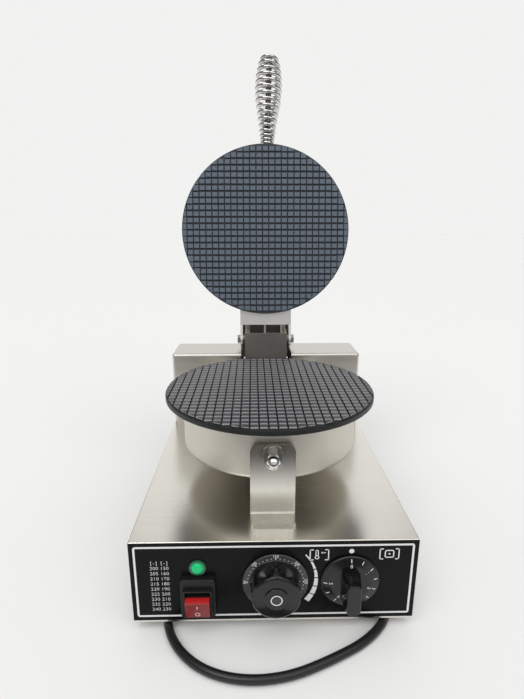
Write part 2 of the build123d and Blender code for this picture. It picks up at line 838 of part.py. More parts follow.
def clamp_screw_places():
    turns = [math.radians(210 + 120 * n) for n in range(3)]
    return [(clamp_screw_ring * math.cos(a), clamp_screw_ring * math.sin(a)) for a in turns]


def stack_plate():
    plate = rod_z(plate_radius, -plate_thickness, 0)
    plate = fillet(plate.faces().sort_by(Axis.Z)[-1].edges(), plate_edge_radius)
    boss = rod_z(boss_radius, -plate_thickness - boss_thickness, -plate_thickness)
    plate += boss
    groove = Pos(0, 0, heater_z) * Torus(heater_ring_radius, heater_tube_radius)
    plate -= groove
    for x, y in clamp_screw_places():
        plate -= rod_z(clamp_screw_radius, -plate_thickness - boss_thickness - cut_reach,
                       -plate_thickness + screw_depth_in_plate, x, y)
    return plate


def stack_heater():
    opening = heater_gap_half_angle
    path = CenterArc((0, 0), heater_ring_radius, 90 + opening, 360 - 2 * opening)
    ring = sweep(Plane(origin=path @ 0, z_dir=path % 0) * Circle(heater_tube_radius), path=path)
    ring = Pos(0, 0, heater_z) * ring
    for side in (-1, 1):
        ring += Pos(side * leg_x, leg_y, heater_z) * Sphere(heater_tube_radius)
        ring += rod_z(heater_tube_radius, leg_bottom, heater_z, side * leg_x, leg_y)
        ring += rod_z(leg_pin_radius, leg_bottom - leg_pin_length, leg_bottom, side * leg_x, leg_y)
    return ring


def stack_clamp():
    clamp = rod_z(clamp_radius, clamp_bottom, clamp_top)
    clamp -= block(-well_x, well_x, leg_y - clamp_notch_front, leg_y + clamp_notch_rear,
                   clamp_bottom - cut_reach, clamp_top + cut_reach)
    clamp -= rod_z(clamp_capillary_radius, clamp_bottom - cut_reach, clamp_top + cut_reach,
                   bulb_half_length + capillary_offset, bulb_y)
    for x, y in clamp_screw_places():
        clamp -= rod_z(clamp_screw_radius, clamp_bottom - cut_reach, clamp_top + cut_reach, x, y)
    return clamp


def stack_screws():
    top = -plate_thickness + screw_depth_in_plate
    screws = []
    for x, y in clamp_screw_places():
        shank = rod_z(clamp_screw_radius, clamp_bottom, top, x, y)
        head = Pos(x, y, clamp_bottom - screw_head_height) * hex_prism(screw_head_across, screw_head_height)
        screws.append(shank + head)
    return screws


def stack_insulation():
    disc = rod_z(drum_radius - drum_sheet - insulation_clearance, -drum_depth + drum_sheet, insulation_top)
    disc = fillet(disc.faces().sort_by(Axis.Z)[0].edges(), drum_edge_radius - drum_sheet)
    disc -= block(-well_x, well_x, well_y0, well_y1, -drum_depth, insulation_top + cut_reach)
    for side in (-1, 1):
        reach = drum_radius
        slot_y = sorted((side * reach, side * (reach - side_slot_depth)))
        disc -= block(-side_slot_half, side_slot_half, *slot_y, -drum_depth, insulation_top + cut_reach)
    disc -= rod_z(insulation_capillary_radius, -drum_depth, insulation_top + cut_reach,
                  bulb_half_length + capillary_offset, bulb_y)
    return disc


def stack_drum():
    cup = rod_z(drum_radius, -drum_depth, -plate_thickness)
    cup = fillet(cup.faces().sort_by(Axis.Z)[0].edges(), drum_edge_radius)
    inner = rod_z(drum_radius - drum_sheet, -drum_depth + drum_sheet, -plate_thickness)
    inner = fillet(inner.faces().sort_by(Axis.Z)[0].edges(), drum_edge_radius - drum_sheet)
    return cup - inner


lower_place = Pos(0, plate_y, plate_top)
lid_place = Pos(0, plate_y, lid_face) * Rot(0, 180, 0)


def make_lower_drum():
    drum = lower_place * stack_drum()
    z = base_top + stud_height
    drum -= rod_y(stud_radius, plate_y - drum_radius - cut_reach, plate_y - drum_radius + cut_reach, 0, z)
    drum -= rod_y(stud_radius, plate_y + drum_radius - cut_reach, plate_y + drum_radius + cut_reach, 0, z)
    drum_floor = plate_top - drum_depth
    drum -= rod_z(conduit_radius, drum_floor - cut_reach, drum_floor + cut_reach, 0, conduit_y)
    return drum


conduit_wall = 1.0
conduit_reach = 3.0
conduit_collar = 3.0
conduit_collar_height = 2.0


def make_conduit():
    """The tube that carries the lower heater's leads from the drum down into the base."""
    z0, z1 = base_top - conduit_reach, plate_top - drum_depth + conduit_reach
    tube = rod_z(conduit_radius, z0, z1, 0, conduit_y)
    for collar_z in (base_top, plate_top - drum_depth - conduit_collar_height):
        tube += rod_z(conduit_radius + conduit_collar, collar_z, collar_z + conduit_collar_height,
                      0, conduit_y)
    return tube - rod_z(conduit_radius - conduit_wall, z0 - cut_reach, z1 + cut_reach, 0, conduit_y)


def make_lower_leads():
    """The lower heater's two leads, through the conduit and back to the terminal block."""
    leads = []
    for pole, side in ((3, -1), (4, 1)):
        x, y, z = side * leg_x, plate_y + leg_y, plate_top + leg_bottom - leg_pin_length
        lane = side * 3.0 - 1.5
        end = terminal_mouth(pole, -1)
        leads.append(lead([(x, y, z), (x, y, z - 7), (lane, conduit_y, z - 16),
                           (lane, conduit_y, lead_z + 20), (lane - 4, conduit_y + 16, lead_z + 10),
                           (end[0], terminal_y - 20, lead_z), end]))
    return leads


capillary_radius = 0.9
capillary_lane = 5.6


def make_thermostat_capillary():
    """The sensing bulb against the lower plate, and its tube down to the thermostat."""
    z_bulb = plate_top - plate_thickness - boss_thickness - bulb_radius - 0.1
    y_bulb = plate_y + bulb_y
    bulb = rod_x(bulb_radius, -bulb_half_length, bulb_half_length, y_bulb, z_bulb)
    over_insulation = plate_top + insulation_top + capillary_radius + 0.3
    end = (thermostat_x + 8, base_sheet + thermostat_body[1], control_z + 6)
    before_end = (end[0], end[1] + 14, end[2])
    tube = swept([(bulb_half_length - 1, y_bulb, z_bulb), (bulb_half_length + 3, y_bulb, z_bulb),
                  (bulb_half_length + 3, y_bulb, over_insulation),
                  (capillary_lane, conduit_y, over_insulation), (capillary_lane, conduit_y, base_top - 20),
                  (end[0] - 1, end[1] + 40, end[2] + 4), before_end, end], capillary_radius, 3.0)
    return bulb + tube


# ---- rear housing and the hinge column ----------------------------------------------------
column_screw_radius = 2.5
column_foot_reach = 12.0
column_screw_inset = 5.0
column_screw_length = 8.0
column_screw_head_margin = 2.0
column_screw_head = 3.0
cover_screw_rise = 25.0
cover_screw_drop = 12.0
cover_screw_in = 1.5
cover_head_margin = 1.4
cover_head_rise = 1.8
cover_sheet = 2.0
cover_rise = 23.0
cover_flange = 10.0
cover_flange_sheet = 1.5
cover_screw_radius = 1.5
column_return = 6.2
stop_sheet = 2.5
stop_screw_radius = 1.5
stop_screw_margin = 0.4
stop_screw_drop = 14.0
stop_screw_rise = 8.0
stop_drop = 28.0
stop_ear_rise = 3.0


def column_screw_places():
    x = column_half + column_foot_reach / 2
    return [(side * x, y) for y in (column_front + column_screw_inset, column_rear - column_screw_inset)
            for side in (-1, 1)]


def make_rear_housing():
    half = housing_width / 2
    housing = shell_box(-half, half, housing_front, housing_rear, base_top, housing_top,
                        base_sheet, housing_bend_radius)
    housing -= block(-notch_half_width, notch_half_width, housing_front - cut_reach,
                     housing_rear - notch_rear_margin, housing_top - notch_front_drop, housing_top + cut_reach)
    return housing


def make_hinge_column():
    """A folded upright with two cheeks, rounded over the pivot so that the lid's arm can pass."""
    x0 = column_half - column_sheet
    eye = column_front_setback
    reach = column_half + column_foot_reach
    column = block(-reach, reach, column_front, column_rear, base_top, base_top + column_sheet)
    for side in (-1, 1):
        column += signed_block(side, x0, column_half, column_front, column_rear, base_top, pivot_z)
        column += signed_block(side, x0, column_half, pivot_y, column_rear, base_top, pivot_z + eye)
        column += signed_rod_x(side, eye, x0, column_half, pivot_y, pivot_z)
        column += signed_block(side, column_half - column_return, column_half,
                               column_rear - column_sheet, column_rear, base_top, column_top)
    column -= column_well()
    column -= rod_x(pivot_bolt_radius, -column_half - cut_reach, column_half + cut_reach, pivot_y, pivot_z)
    for x, y in column_screw_places():
        column -= rod_z(column_screw_radius, base_top - cut_reach, base_top + cut_reach, x, y)
    for y, z in cover_screw_places():
        column -= rod_x(cover_screw_radius, -column_half - cut_reach, column_half + cut_reach, y, z)
    for x, z in stop_screw_places():
        column -= rod_y(stop_screw_radius, column_rear - cut_reach, column_rear + cut_reach, x, z)
    return column


def cover_screw_places():
    y = column_front + cover_flange / 2
    return [(y, base_top + cover_screw_rise), (y, housing_top - cover_screw_drop)]


def stop_screw_places():
    x = column_half - column_return / 2 + stop_screw_margin
    heights = (housing_top - stop_screw_drop, housing_top + stop_screw_rise)
    return [(side * x, z) for z in heights for side in (-1, 1)]


def make_column_screws():
    screws = []
    for x, y in column_screw_places():
        seat = base_top + column_sheet
        shank = rod_z(column_screw_radius, base_top - column_screw_length, seat, x, y)
        head = rod_z(column_screw_radius + column_screw_head_margin, seat, seat + column_screw_head, x, y)
        screws.append(shank + head)
    return screws


def make_wire_cover():
    """The plate that closes the column's front and keeps the lid's leads inside it."""
    z0, z1 = base_top + column_sheet, housing_top + cover_rise
    cover = block(-column_half, column_half, column_front - cover_sheet, column_front, z0, z1)
    inner = column_half - column_sheet
    for side in (-1, 1):
        cover += signed_block(side, inner - cover_flange_sheet, inner,
                              column_front, column_front + cover_flange, z0, housing_top)
    for y, z in cover_screw_places():
        cover -= rod_x(cover_screw_radius, -column_half - cut_reach, column_half + cut_reach, y, z)
    return cover


def make_cover_screws():
    screws = []
    inner = column_half - column_sheet - cover_flange_sheet - cover_screw_in
    for y, z in cover_screw_places():
        for side in (-1, 1):
            shank = signed_rod_x(side, cover_screw_radius, inner, column_half, y, z)
            head = signed_rod_x(side, cover_screw_radius + cover_head_margin, column_half,
                                column_half + cover_head_rise, y, z)
            screws.append(shank + head)
    return screws


def make_hinge_stop():
    """The plate on the column's back that the lid's arm comes to rest against."""
    y0, y1 = column_rear, column_rear + stop_sheet
    plate = block(-column_half, column_half, y0, y1, housing_top - stop_drop, stop_top)
    plate += block(-arm_half, arm_half, y0, y1, housing_top + stop_ear_rise, stop_top)
    for x, z in stop_screw_places():
        plate -= rod_y(stop_screw_radius, y0 - cut_reach, y1 + cut_reach, x, z)
    return plate


def make_stop_screws():
    screws = []
    y0 = column_rear - column_sheet - cover_screw_in
    for x, z in stop_screw_places():
        shank = rod_y(stop_screw_radius, y0, column_rear + stop_sheet, x, z)
        head = rod_y(stop_screw_radius + cover_head_margin, column_rear + stop_sheet,
                     column_rear + stop_sheet + small_head_rise, x, z)
        screws.append(shank + head)
    return screws


bolt_head_height = 3.6
bolt_across = 10.0
pivot_nut_height = 5.0
bush_flange_radius = 8.0
pivot_bolt_past_nut = 1.5


def make_pivot_bushes():
    bushes = []
    for side in (-1, 1):
        flange = signed_rod_x(side, bush_flange_radius, column_half, arm_inner - side_play, pivot_y, pivot_z)
        sleeve = signed_rod_x(side, bush_radius, column_half, arm_half + side_play, pivot_y, pivot_z)
        bore = rod_x(pivot_bolt_radius, -arm_half - cut_reach, arm_half + cut_reach, pivot_y, pivot_z)
        bushes.append(flange + sleeve - bore)
    return bushes


def make_pivot_bolts():
    bolts = []
    for side in (-1, 1):
        outer = arm_half + side_play
        inner = column_half - column_sheet - pivot_nut_height - pivot_bolt_past_nut
        shank = signed_rod_x(side, pivot_bolt_radius, inner, outer, pivot_y, pivot_z)
        head = Pos(side * outer, pivot_y, pivot_z) * Rot(0, side * 90, 0) * hex_prism(
            bolt_across, bolt_head_height)
        bolts.append(shank + head)
    return bolts


def make_pivot_nuts():
    nuts = []
    for side in (-1, 1):
        seat = column_half - column_sheet
        nut = hex_prism(bolt_across, pivot_nut_height)
        nut = Pos(side * seat, pivot_y, pivot_z) * Rot(0, -side * 90, 0) * nut
        nuts.append(nut - rod_x(pivot_bolt_radius, -arm_half, arm_half, pivot_y, pivot_z))
    return nuts


# ---- lid: drum, arm, handle ---------------------------------------------------------------
lid_lead_rise = 27.0
lid_lead_hole = 9.0
lid_lead_hole_height = 10.0
lid_lead_x = 10.0
lid_lead_setback = 8.5
lid_lead_y = pivot_y + lid_lead_setback
lid_lead_bend_height = 20.0
lid_lead_mid_height = 50.0
lid_lead_top_rise = 18.0
lid_lead_reach = 6.0
lid_tail_bend = 14.0
lid_tail_rise = 7.0
lead_end_drop = 8.0
lid_lead_low = (-3.0, 14.0)
lid_lead_mid = (-0.8, 21.2)
lid_lead_end = (1.0, 18.0)
weld_gap = 0.05
arm_start_share = 0.8
arm_rise_behind = 3.0


def lid_lead_hole_cut():
    y = plate_y + drum_radius
    z = lid_face + lid_lead_rise
    hole = block(-lid_lead_hole - lid_lead_x / 2, lid_lead_hole + lid_lead_x / 2,
                 y - cut_reach, y + cut_reach,
                 z - lid_lead_hole_height / 2, z + lid_lead_hole_height / 2)
    return Pos(lid_lead_x, 0, 0) * hole


def make_lid_drum():
    drum = lid_place * stack_drum()
    drum -= lid_lead_hole_cut()
    wall_y = plate_y - drum_radius
    drum -= at_handle(rod_y(handle_rod_radius, wall_y - cut_reach, wall_y + cut_reach, 0,
                            lid_face + handle_rise))
    return swing(drum)


def stop_contact():
    """Where the stop's front edge meets the closed lid's frame: its Y, and its height there."""
    angle = math.radians(lid_open_angle)
    dy, dz = column_rear - pivot_y, stop_top - pivot_z
    return (pivot_y + dy * math.cos(angle) - dz * math.sin(angle),
            pivot_z + dy * math.sin(angle) + dz * math.cos(angle))


def make_hinge_arm():
    """The folded arm: a web under two cheeks, coped to the lid's drum and bored for the pivot."""
    web_z = lid_face + arm_web_rise
    web_end = pivot_y - arm_web_end
    start = plate_y + drum_radius * arm_start_share
    contact_y, contact_z = stop_contact()
    top = contact_z - rest_gap
    arm = block(-arm_half, arm_half, start, web_end, web_z, web_z + arm_sheet)
    side = Polyline((start, web_z), (web_end, web_z), (pivot_y, pivot_z - arm_eye_radius),
                    (pivot_y, pivot_z + arm_eye_radius), (contact_y + arm_rise_behind, top), (start, top),
                    close=True)
    for x in (-arm_half, arm_inner):
        plane = Plane(origin=(x, 0, 0), x_dir=(0, 1, 0), z_dir=(1, 0, 0))
        arm += extrude(plane * make_face(side), arm_sheet)
        arm += rod_x(arm_eye_radius, x, x + arm_sheet, pivot_y, pivot_z)
    arm -= rod_z(drum_radius + weld_gap, web_z - cut_reach, top + cut_reach, 0, plate_y)
    arm -= rod_x(bush_radius + running_clearance, -arm_half - cut_reach, arm_half + cut_reach,
                 pivot_y, pivot_z)
    return swing(arm)


handle_nut_across = 13.0
handle_nut_height = 5.0
handle_rod_past_nut = 4.0


def handle_profile():
    """Half of the coil grip's outline: distance along the rod, and outer radius."""
    return [(0.0, handle_neck_radius), (0.17, handle_neck_radius + 0.2), (0.29, handle_belly_radius * 0.63),
            (0.44, handle_belly_radius * 0.79), (0.56, handle_belly_radius * 0.94), (0.69, handle_belly_radius),
            (0.81, handle_belly_radius * 0.96), (0.92, handle_belly_radius * 0.82), (1.0, handle_top_radius)]


def handle_start():
    return plate_y - drum_radius - handle_nut_height


def make_handle_rod():
    y_out = handle_start() - handle_length
    y_in = plate_y - drum_radius + drum_sheet + handle_nut_height + handle_rod_past_nut
    return swing(at_handle(rod_y(handle_rod_radius, y_out, y_in, 0, lid_face + handle_rise)))


def make_handle_grip():
    """The coil grip as one wound sleeve: its neck sits on the outer nut, its top on the rod's end."""
    y0 = handle_start()
    wall = handle_wire
    outer = [(y0 - t * handle_length, r) for t, r in handle_profile()]
    curve = Spline(*[(r, y) for y, r in outer])
    inner_points = [(max(r - wall, handle_rod_radius), y) for y, r in outer]
    inner = Polyline(*[(x, y) for x, y in inner_points[::-1]])
    top = Line((outer[-1][1], outer[-1][0]), inner_points[-1])
    bottom = Line(inner_points[0], (outer[0][1], outer[0][0]))
    face = make_face([curve, top, inner, bottom])
    grip = revolve(face, Axis.Y)
    return swing(at_handle(Pos(0, 0, lid_face + handle_rise) * grip))


def make_handle_nuts():
    nuts = []
    z = lid_face + handle_rise
    inside = drum_radius - drum_sheet - flat_on_curve
    for y in (plate_y - drum_radius, plate_y - inside + handle_nut_height):
        nut = Pos(0, y, z) * Rot(90, 0, 0) * hex_prism(handle_nut_across, handle_nut_height)
        nuts.append(swing(at_handle(nut - rod_y(handle_rod_radius, y - 20, y + 20, 0, z))))
    return nuts


def lid_point(x, reach, rise):
    """A point of the lid, given closed, after it has swung open: reach is back from its centre."""
    angle = math.radians(lid_open_angle)
    dy, dz = plate_y + reach - pivot_y, lid_face + rise - pivot_z
    return (x, pivot_y + dy * math.cos(angle) + dz * math.sin(angle),
            pivot_z - dy * math.sin(angle) + dz * math.cos(angle))


def make_lid_leads():
    """The upper heater's two leads, from the column up into the lid."""
    leads = []
    for x_low, x_mid, x_lid in zip(lid_lead_low, lid_lead_mid, lid_lead_end):
        inside = lid_point(x_lid, drum_radius - lid_lead_reach, lid_lead_rise)
        outside = lid_point(x_lid, drum_radius + lid_lead_reach, lid_lead_rise)
        leads.append(lead([(x_low, lid_lead_y, base_top - lead_end_drop),
                           (x_low, lid_lead_y, base_top + lid_lead_bend_height),
                           (x_mid, lid_lead_y, base_top + lid_lead_mid_height),
                           (x_mid, lid_lead_y, pivot_z + lid_lead_top_rise), outside, inside]))
    return leads


def make_lid_lead_tails():
    """The same two leads inside the lid, up to the heater's terminals."""
    tails = []
    for x_lid, side in zip(lid_lead_end, (-1, 1)):
        y, z = plate_y + drum_radius, lid_face + lid_lead_rise
        end_z = lid_face - leg_bottom + leg_pin_length
        leg = (side * leg_x, plate_y + leg_y)
        points = [(x_lid, y - lid_lead_reach, z), (x_lid, y - lid_tail_bend, z),
                  (*leg, end_z + lid_tail_rise), (*leg, end_z)]
        tails.append(swing(lead(points)))
    return tails


# ---- mains cord ---------------------------------------------------------------------------
gland_nut_across = 19.0
gland_flange_radius = 11.0
gland_flange = 4.0
gland_nut_height = 3.0
gland_taper = 1.0
plug_length = 38.0
plug_width = 26.0
plug_height = 24.0
pin_radius = 2.4
pin_spacing = 19.0
pin_length = 19.0
coil_centre = (72.0, base_depth + 84.0)
cord_start_in_boot = 14.0


def make_gland():
    x, z = gland_x, gland_height
    flange = rod_y(gland_flange_radius, base_depth, base_depth + gland_flange, x, z)
    body = rod_y(gland_radius, base_depth - base_sheet - gland_flange, base_depth + gland_flange, x, z)
    nut = Pos(x, base_depth - base_sheet, z) * Rot(90, 0, 0) * hex_prism(gland_nut_across, gland_nut_height)
    boot = Pos(x, base_depth + (gland_length + gland_flange) / 2, z) * Rot(-90, 0, 0) * Cone(
        gland_radius - gland_taper, cord_radius + gland_taper, gland_length - gland_flange)
    shape = flange + body + nut + boot
    return shape - rod_y(cord_radius, base_depth - gland_length, base_depth + gland_length + cut_reach, x, z)


def cord_route():
    """The lying cord, from the gland, forward under the base, round in front and back to the coil."""
    exit_y = base_depth + gland_length
    return [
        (gland_x, exit_y - cord_start_in_boot, gland_height),
        (gland_x, exit_y + 12, gland_height),
        (gland_x + 3, exit_y + 42, gland_height - 12),
        (gland_x + 22, exit_y + 72, cord_z + 5),
        (gland_x + 54, exit_y + 80, cord_z),
        (gland_x + 82, exit_y + 60, cord_z),
        (gland_x + 90, exit_y + 22, cord_z),
        (gland_x + 84, 288, cord_z),
        (-16, 226, cord_z),
        (-50, 164, cord_z),
        (-76, 104, cord_z),
        (-86, 56, cord_z),
        (-97, 20, cord_z),
        (-90, -14, cord_z),
        (-64, -38, cord_z),
        (-28, -49, cord_z),
        (8, -47, cord_z),
        (42, -34, cord_z),
        (76, -16, cord_z),
        (100, 10, cord_z),
        (98, 40, cord_z),
        (82, 74, cord_z),
        (67, 126, cord_z),
        (63, 186, cord_z),
        (74, 244, cord_z),
        (98, 292, cord_z),
        (coil_centre[0] + coil_turn_radius - 1, coil_centre[1] - 40, cord_z),
        (coil_centre[0] + coil_turn_radius, coil_centre[1] + 2, cord_z),
    ]


def make_cord_tube(points, name):
    tube = swept(points, cord_radius)
    path = tube_path(points)
    print(name, "bend radii", [round(r) for r in bend_radii(points)])
    print(name, "length", round(path.length, 1), "volume ratio",
          round(tube.volume / (path.length * math.pi * cord_radius ** 2), 4))
    return tube


def make_cord_coil():
    pitch = 2 * cord_radius
    across, height = coil_turns_across * pitch, coil_layers * pitch
    ring = rod_z(coil_turn_radius + across / 2, cord_floor_gap, cord_floor_gap + height, *coil_centre)
    ring -= rod_z(coil_turn_radius - across / 2, -cut_reach, height + cut_reach, *coil_centre)
    return fillet(ring.edges(), coil_edge_radius)


tail_height = cord_z + 2 * cord_radius


def tail_route():
    """The short stretch from the coil's top turn to the plug that lies beside the coil."""
    x = coil_centre[0] + coil_turn_radius
    y = coil_centre[1]
    return [(x, y - 4, tail_height), (x, y + 24, tail_height), (x - 7, y + 44, plug_axis_z() + 1),
            (x - 24, y + 61, plug_axis_z()), (x - 46, y + 66, plug_axis_z())]


def plug_axis_z():
    return cord_floor_gap + plug_height / 2


def plug_frame():
    """A frame at the plug's cord end, its x axis along the plug towards the pins."""
    points = tail_route()
    last, before = Vector(*points[-1]), Vector(*points[-2])
    return Plane(origin=last, x_dir=(last - before).normalized(), z_dir=(0, 0, 1))


plug_boot_length = 12.0
plug_boot_end = 1.2
plug_boot_root = 4.0
plug_corner_radius = 7.0
plug_shoulder_radius = 4.0
pin_depth = 12.0
pin_tip_radius = 1.2


def make_plug():
    frame = plug_frame()
    boot = Rot(0, 90, 0) * Cone(cord_radius + plug_boot_end, cord_radius + plug_boot_root, plug_boot_length)
    boot = Pos(plug_boot_length / 2, 0, 0) * boot
    body = Pos(plug_boot_length + plug_length / 2, 0, 0) * Box(plug_length, plug_width, plug_height)
    body = fillet(body.edges().filter_by(Axis.X), plug_corner_radius)
    body = fillet(body.faces().sort_by(Axis.X)[0].edges(), plug_shoulder_radius)
    shape = boot + body
    for side in (-1, 1):
        shape -= Pos(plug_boot_length + plug_length, side * pin_spacing / 2, 0) * Rot(0, 90, 0) * Cylinder(
            pin_radius, 2 * pin_depth)
    return frame.location * shape


def make_plug_pins():
    frame = plug_frame()
    pins = []
    start = plug_boot_length + plug_length - pin_depth
    end = plug_boot_length + plug_length + pin_length
    for side in (-1, 1):
        pin = Rot(0, 90, 0) * Cylinder(pin_radius, end - start)
        pin = Pos((start + end) / 2, side * pin_spacing / 2, 0) * pin
        pin = fillet(pin.faces().sort_by(Axis.X)[-1].edges(), pin_tip_radius)
        pins.append(frame.location * pin)
    return pins


def solids_of(shape):
    return shape if isinstance(shape, list) else [shape]


# ---- assembly -----------------------------------------------------------------------------
pieces = {
    "base_shell": make_base_shell(),
    "base_pan": make_base_pan(),
    "rubber_feet": make_feet(),
    "base_fasteners": make_foot_screws() + make_foot_nuts() + make_pan_screws(),
    "front_film": make_front_film(),
    "pilot_lamp_body": make_lamp_body(),
    "pilot_lamp_lens": make_lamp_lens(),
    "switch_body": make_rocker_body(),
    "switch_rocker": make_rocker_button(),
    "thermostat_body": make_control_body(thermostat_x, thermostat_body),
    "thermostat_shaft": make_shaft(thermostat_x, thermostat_body[1], knob_height),
    "thermostat_knob": make_thermostat_knob(),
    "thermostat_knob_cap": make_knob_cap(),
    "thermostat_capillary": make_thermostat_capillary(),
    "timer_body": make_control_body(timer_x, timer_body),
    "timer_shaft": make_shaft(timer_x, timer_body[1], timer_knob_height),
    "timer_knob": make_timer_knob(),
    "control_nuts": make_bushing_nuts(),
    "terminal_block": make_terminal_block(),
    "earth_stud": make_earth_stud(),
    "base_leads": make_base_leads(),
    "front_bracket": make_bracket(front_upright, front_upright - bracket_foot),
    "rear_bracket": make_bracket(rear_upright, rear_upright + bracket_rear_foot),
    "bracket_studs": make_studs(),
    "front_dome_nut": make_dome_nut(),
    "bracket_nuts": make_stud_nuts() + make_stud_washers(),
    "lower_drum": make_lower_drum(),
    "lower_plate": lower_place * stack_plate(),
    "lower_heater": lower_place * stack_heater(),
    "lower_heater_clamp": lower_place * stack_clamp(),
    "lower_clamp_screws": [lower_place * screw for screw in stack_screws()],
    "lower_insulation": lower_place * stack_insulation(),
    "lead_conduit": make_conduit(),
    "lower_leads": make_lower_leads(),
    "rear_housing": make_rear_housing(),
    "hinge_column": make_hinge_column(),
    "column_screws": make_column_screws() + make_cover_screws() + make_stop_screws(),
    "wire_cover": make_wire_cover(),
    "hinge_stop": make_hinge_stop(),
    "pivot_bushes": make_pivot_bushes(),
    "pivot_bolts": make_pivot_bolts(),
    "pivot_nuts": make_pivot_nuts(),
    "lid_drum": make_lid_drum(),
    "lid_arm": make_hinge_arm(),
    "upper_plate": swing(lid_place * stack_plate()),
    "upper_heater": swing(lid_place * stack_heater()),
    "upper_heater_clamp": swing(lid_place * stack_clamp()),
    "upper_clamp_screws": [swing(lid_place * screw) for screw in stack_screws()],
    "upper_insulation": swing(lid_place * stack_insulation()),
    "handle_rod": make_handle_rod(),
    "handle_grip": make_handle_grip(),
    "handle_nuts": make_handle_nuts(),
    "lid_leads": make_lid_leads(),
    "lid_lead_tails": make_lid_lead_tails(),
    "cord_gland": make_gland(),
}
cord_pieces = {
    "power_cord": make_cord_tube(cord_route(), "cord"),
    "cord_coil": make_cord_coil(),
    "cord_tail": make_cord_tube(tail_route(), "tail"),
    "power_plug": make_plug(),
    "plug_pins": make_plug_pins(),
}

# the origin is under the middle of the machine, cord left out
boxes = [solid.bounding_box() for shape in pieces.values() for solid in solids_of(shape)]
front, back = min(box.min.Y for box in boxes), max(box.max.Y for box in boxes)
to_origin = Pos(0, -(front + back) / 2, 0)

os.makedirs("parts", exist_ok=True)
for name, shape in {**pieces, **cord_pieces}.items():
    placed = [to_origin * solid for solid in solids_of(shape)]
    export_step(placed[0] if len(placed) == 1 else Compound(children=placed), f"parts/{name}.step")

print("nodes", len(pieces) + len(cord_pieces), "height", round(max(box.max.Z for box in boxes), 2))
print("y shift", round(-(front + back) / 2, 4))
print("pivot y", round(pivot_y - (front + back) / 2, 4), "z", round(pivot_z, 4))
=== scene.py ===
import json
import math

import bmesh
import bpy
from mathutils import Matrix, Vector


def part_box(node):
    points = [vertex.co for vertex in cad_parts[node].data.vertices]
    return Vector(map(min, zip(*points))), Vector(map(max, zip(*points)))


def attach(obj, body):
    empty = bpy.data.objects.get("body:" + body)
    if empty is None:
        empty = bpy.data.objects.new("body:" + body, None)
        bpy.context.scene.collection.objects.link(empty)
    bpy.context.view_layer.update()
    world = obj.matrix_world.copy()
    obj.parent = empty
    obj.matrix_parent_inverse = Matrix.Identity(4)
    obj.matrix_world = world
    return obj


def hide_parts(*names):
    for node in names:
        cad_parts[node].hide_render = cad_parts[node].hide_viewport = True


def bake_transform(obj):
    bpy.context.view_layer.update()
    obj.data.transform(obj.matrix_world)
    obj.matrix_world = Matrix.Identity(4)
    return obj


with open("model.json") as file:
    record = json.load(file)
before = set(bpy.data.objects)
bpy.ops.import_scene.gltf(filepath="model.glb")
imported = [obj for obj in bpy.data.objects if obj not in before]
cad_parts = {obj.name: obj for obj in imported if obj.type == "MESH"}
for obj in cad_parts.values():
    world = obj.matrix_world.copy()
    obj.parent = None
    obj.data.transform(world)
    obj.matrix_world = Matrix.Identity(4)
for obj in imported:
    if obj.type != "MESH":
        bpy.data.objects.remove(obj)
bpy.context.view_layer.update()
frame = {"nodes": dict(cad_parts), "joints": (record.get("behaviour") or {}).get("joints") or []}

# ---- the place it stands: a pale seamless floor, soft studio light, and the camera ---------------------
# The iron stands on a white table with a white wall far behind it. The light is broad and soft, and the
# camera looks down at it a little from in front of the control panel.
scene = bpy.context.scene
scene.view_settings.view_transform = "Standard"

camera_place = (-0.0164, -0.47217, 0.3313)
camera_tilt, camera_turn = math.radians(74.92), math.radians(-1.17)
bpy.ops.object.camera_add(location=camera_place, rotation=(camera_tilt, 0, camera_turn))
camera = bpy.context.object
camera.data.sensor_width = 36.0
camera.data.lens = 23.41
scene.camera = camera


class Wire:
    """One output of a shader node, so that sums of outputs read as plain sums."""

    def __init__(self, tree, socket):
        self.tree = tree
        self.socket = socket

    def math(self, operation, *others):
        return add_node(self.tree, "ShaderNodeMath", {"operation": operation},
                        dict(enumerate((self,) + others)))

    def __add__(self, other):
        return self.math("ADD", other)

    def __sub__(self, other):
        return self.math("SUBTRACT", other)

    def __mul__(self, other):
        return self.math("MULTIPLY", other)

    def __rsub__(self, other):
        return (self * -1) + other

    def __gt__(self, other):
        return self.math("GREATER_THAN", other)

    def __lt__(self, other):
        return self.math("LESS_THAN", other)

    __radd__ = __add__
    __rmul__ = __mul__


def add_node(tree, kind, settings=None, inputs=None, output=0):
    """A node of a kind, with its settings, then its sockets' values or links; gives one of its outputs."""
    node = tree.nodes.new(kind)
    for name, value in (settings or {}).items():
        if name == "stops":
            set_stops(node.color_ramp, value)
        else:
            setattr(node, name, value)
    for name, value in (inputs or {}).items():
        feed(tree, node.inputs[name], value)
    return Wire(tree, node.outputs[output]) if len(node.outputs) else node


def set_stops(ramp, stops):
    """Colour stops of a ramp, each a place from 0 to 1 and a grey or a colour."""
    while len(ramp.elements) < len(stops):
        ramp.elements.new(1.0)
    for element, (place, colour) in zip(ramp.elements, stops):
        element.position = place
        element.color = (*colour, 1) if hasattr(colour, "__len__") else (colour, colour, colour, 1)


def feed(tree, socket, value):
    """Links a wire to a socket, or sets the socket's own value."""
    if isinstance(value, Wire):
        tree.links.new(value.socket, socket)
    elif hasattr(value, "__len__") and len(value) == 3 and socket.type == "RGBA":
        socket.default_value = (*value, 1)
    else:
        socket.default_value = value


def blended(tree, mask, first, second):
    """A blend of two colours: the first where the mask is 0 and the second where it is 1."""
    return add_node(tree, "ShaderNodeMix", {"data_type": "RGBA"}, {0: mask, 6: first, 7: second}, output=2)


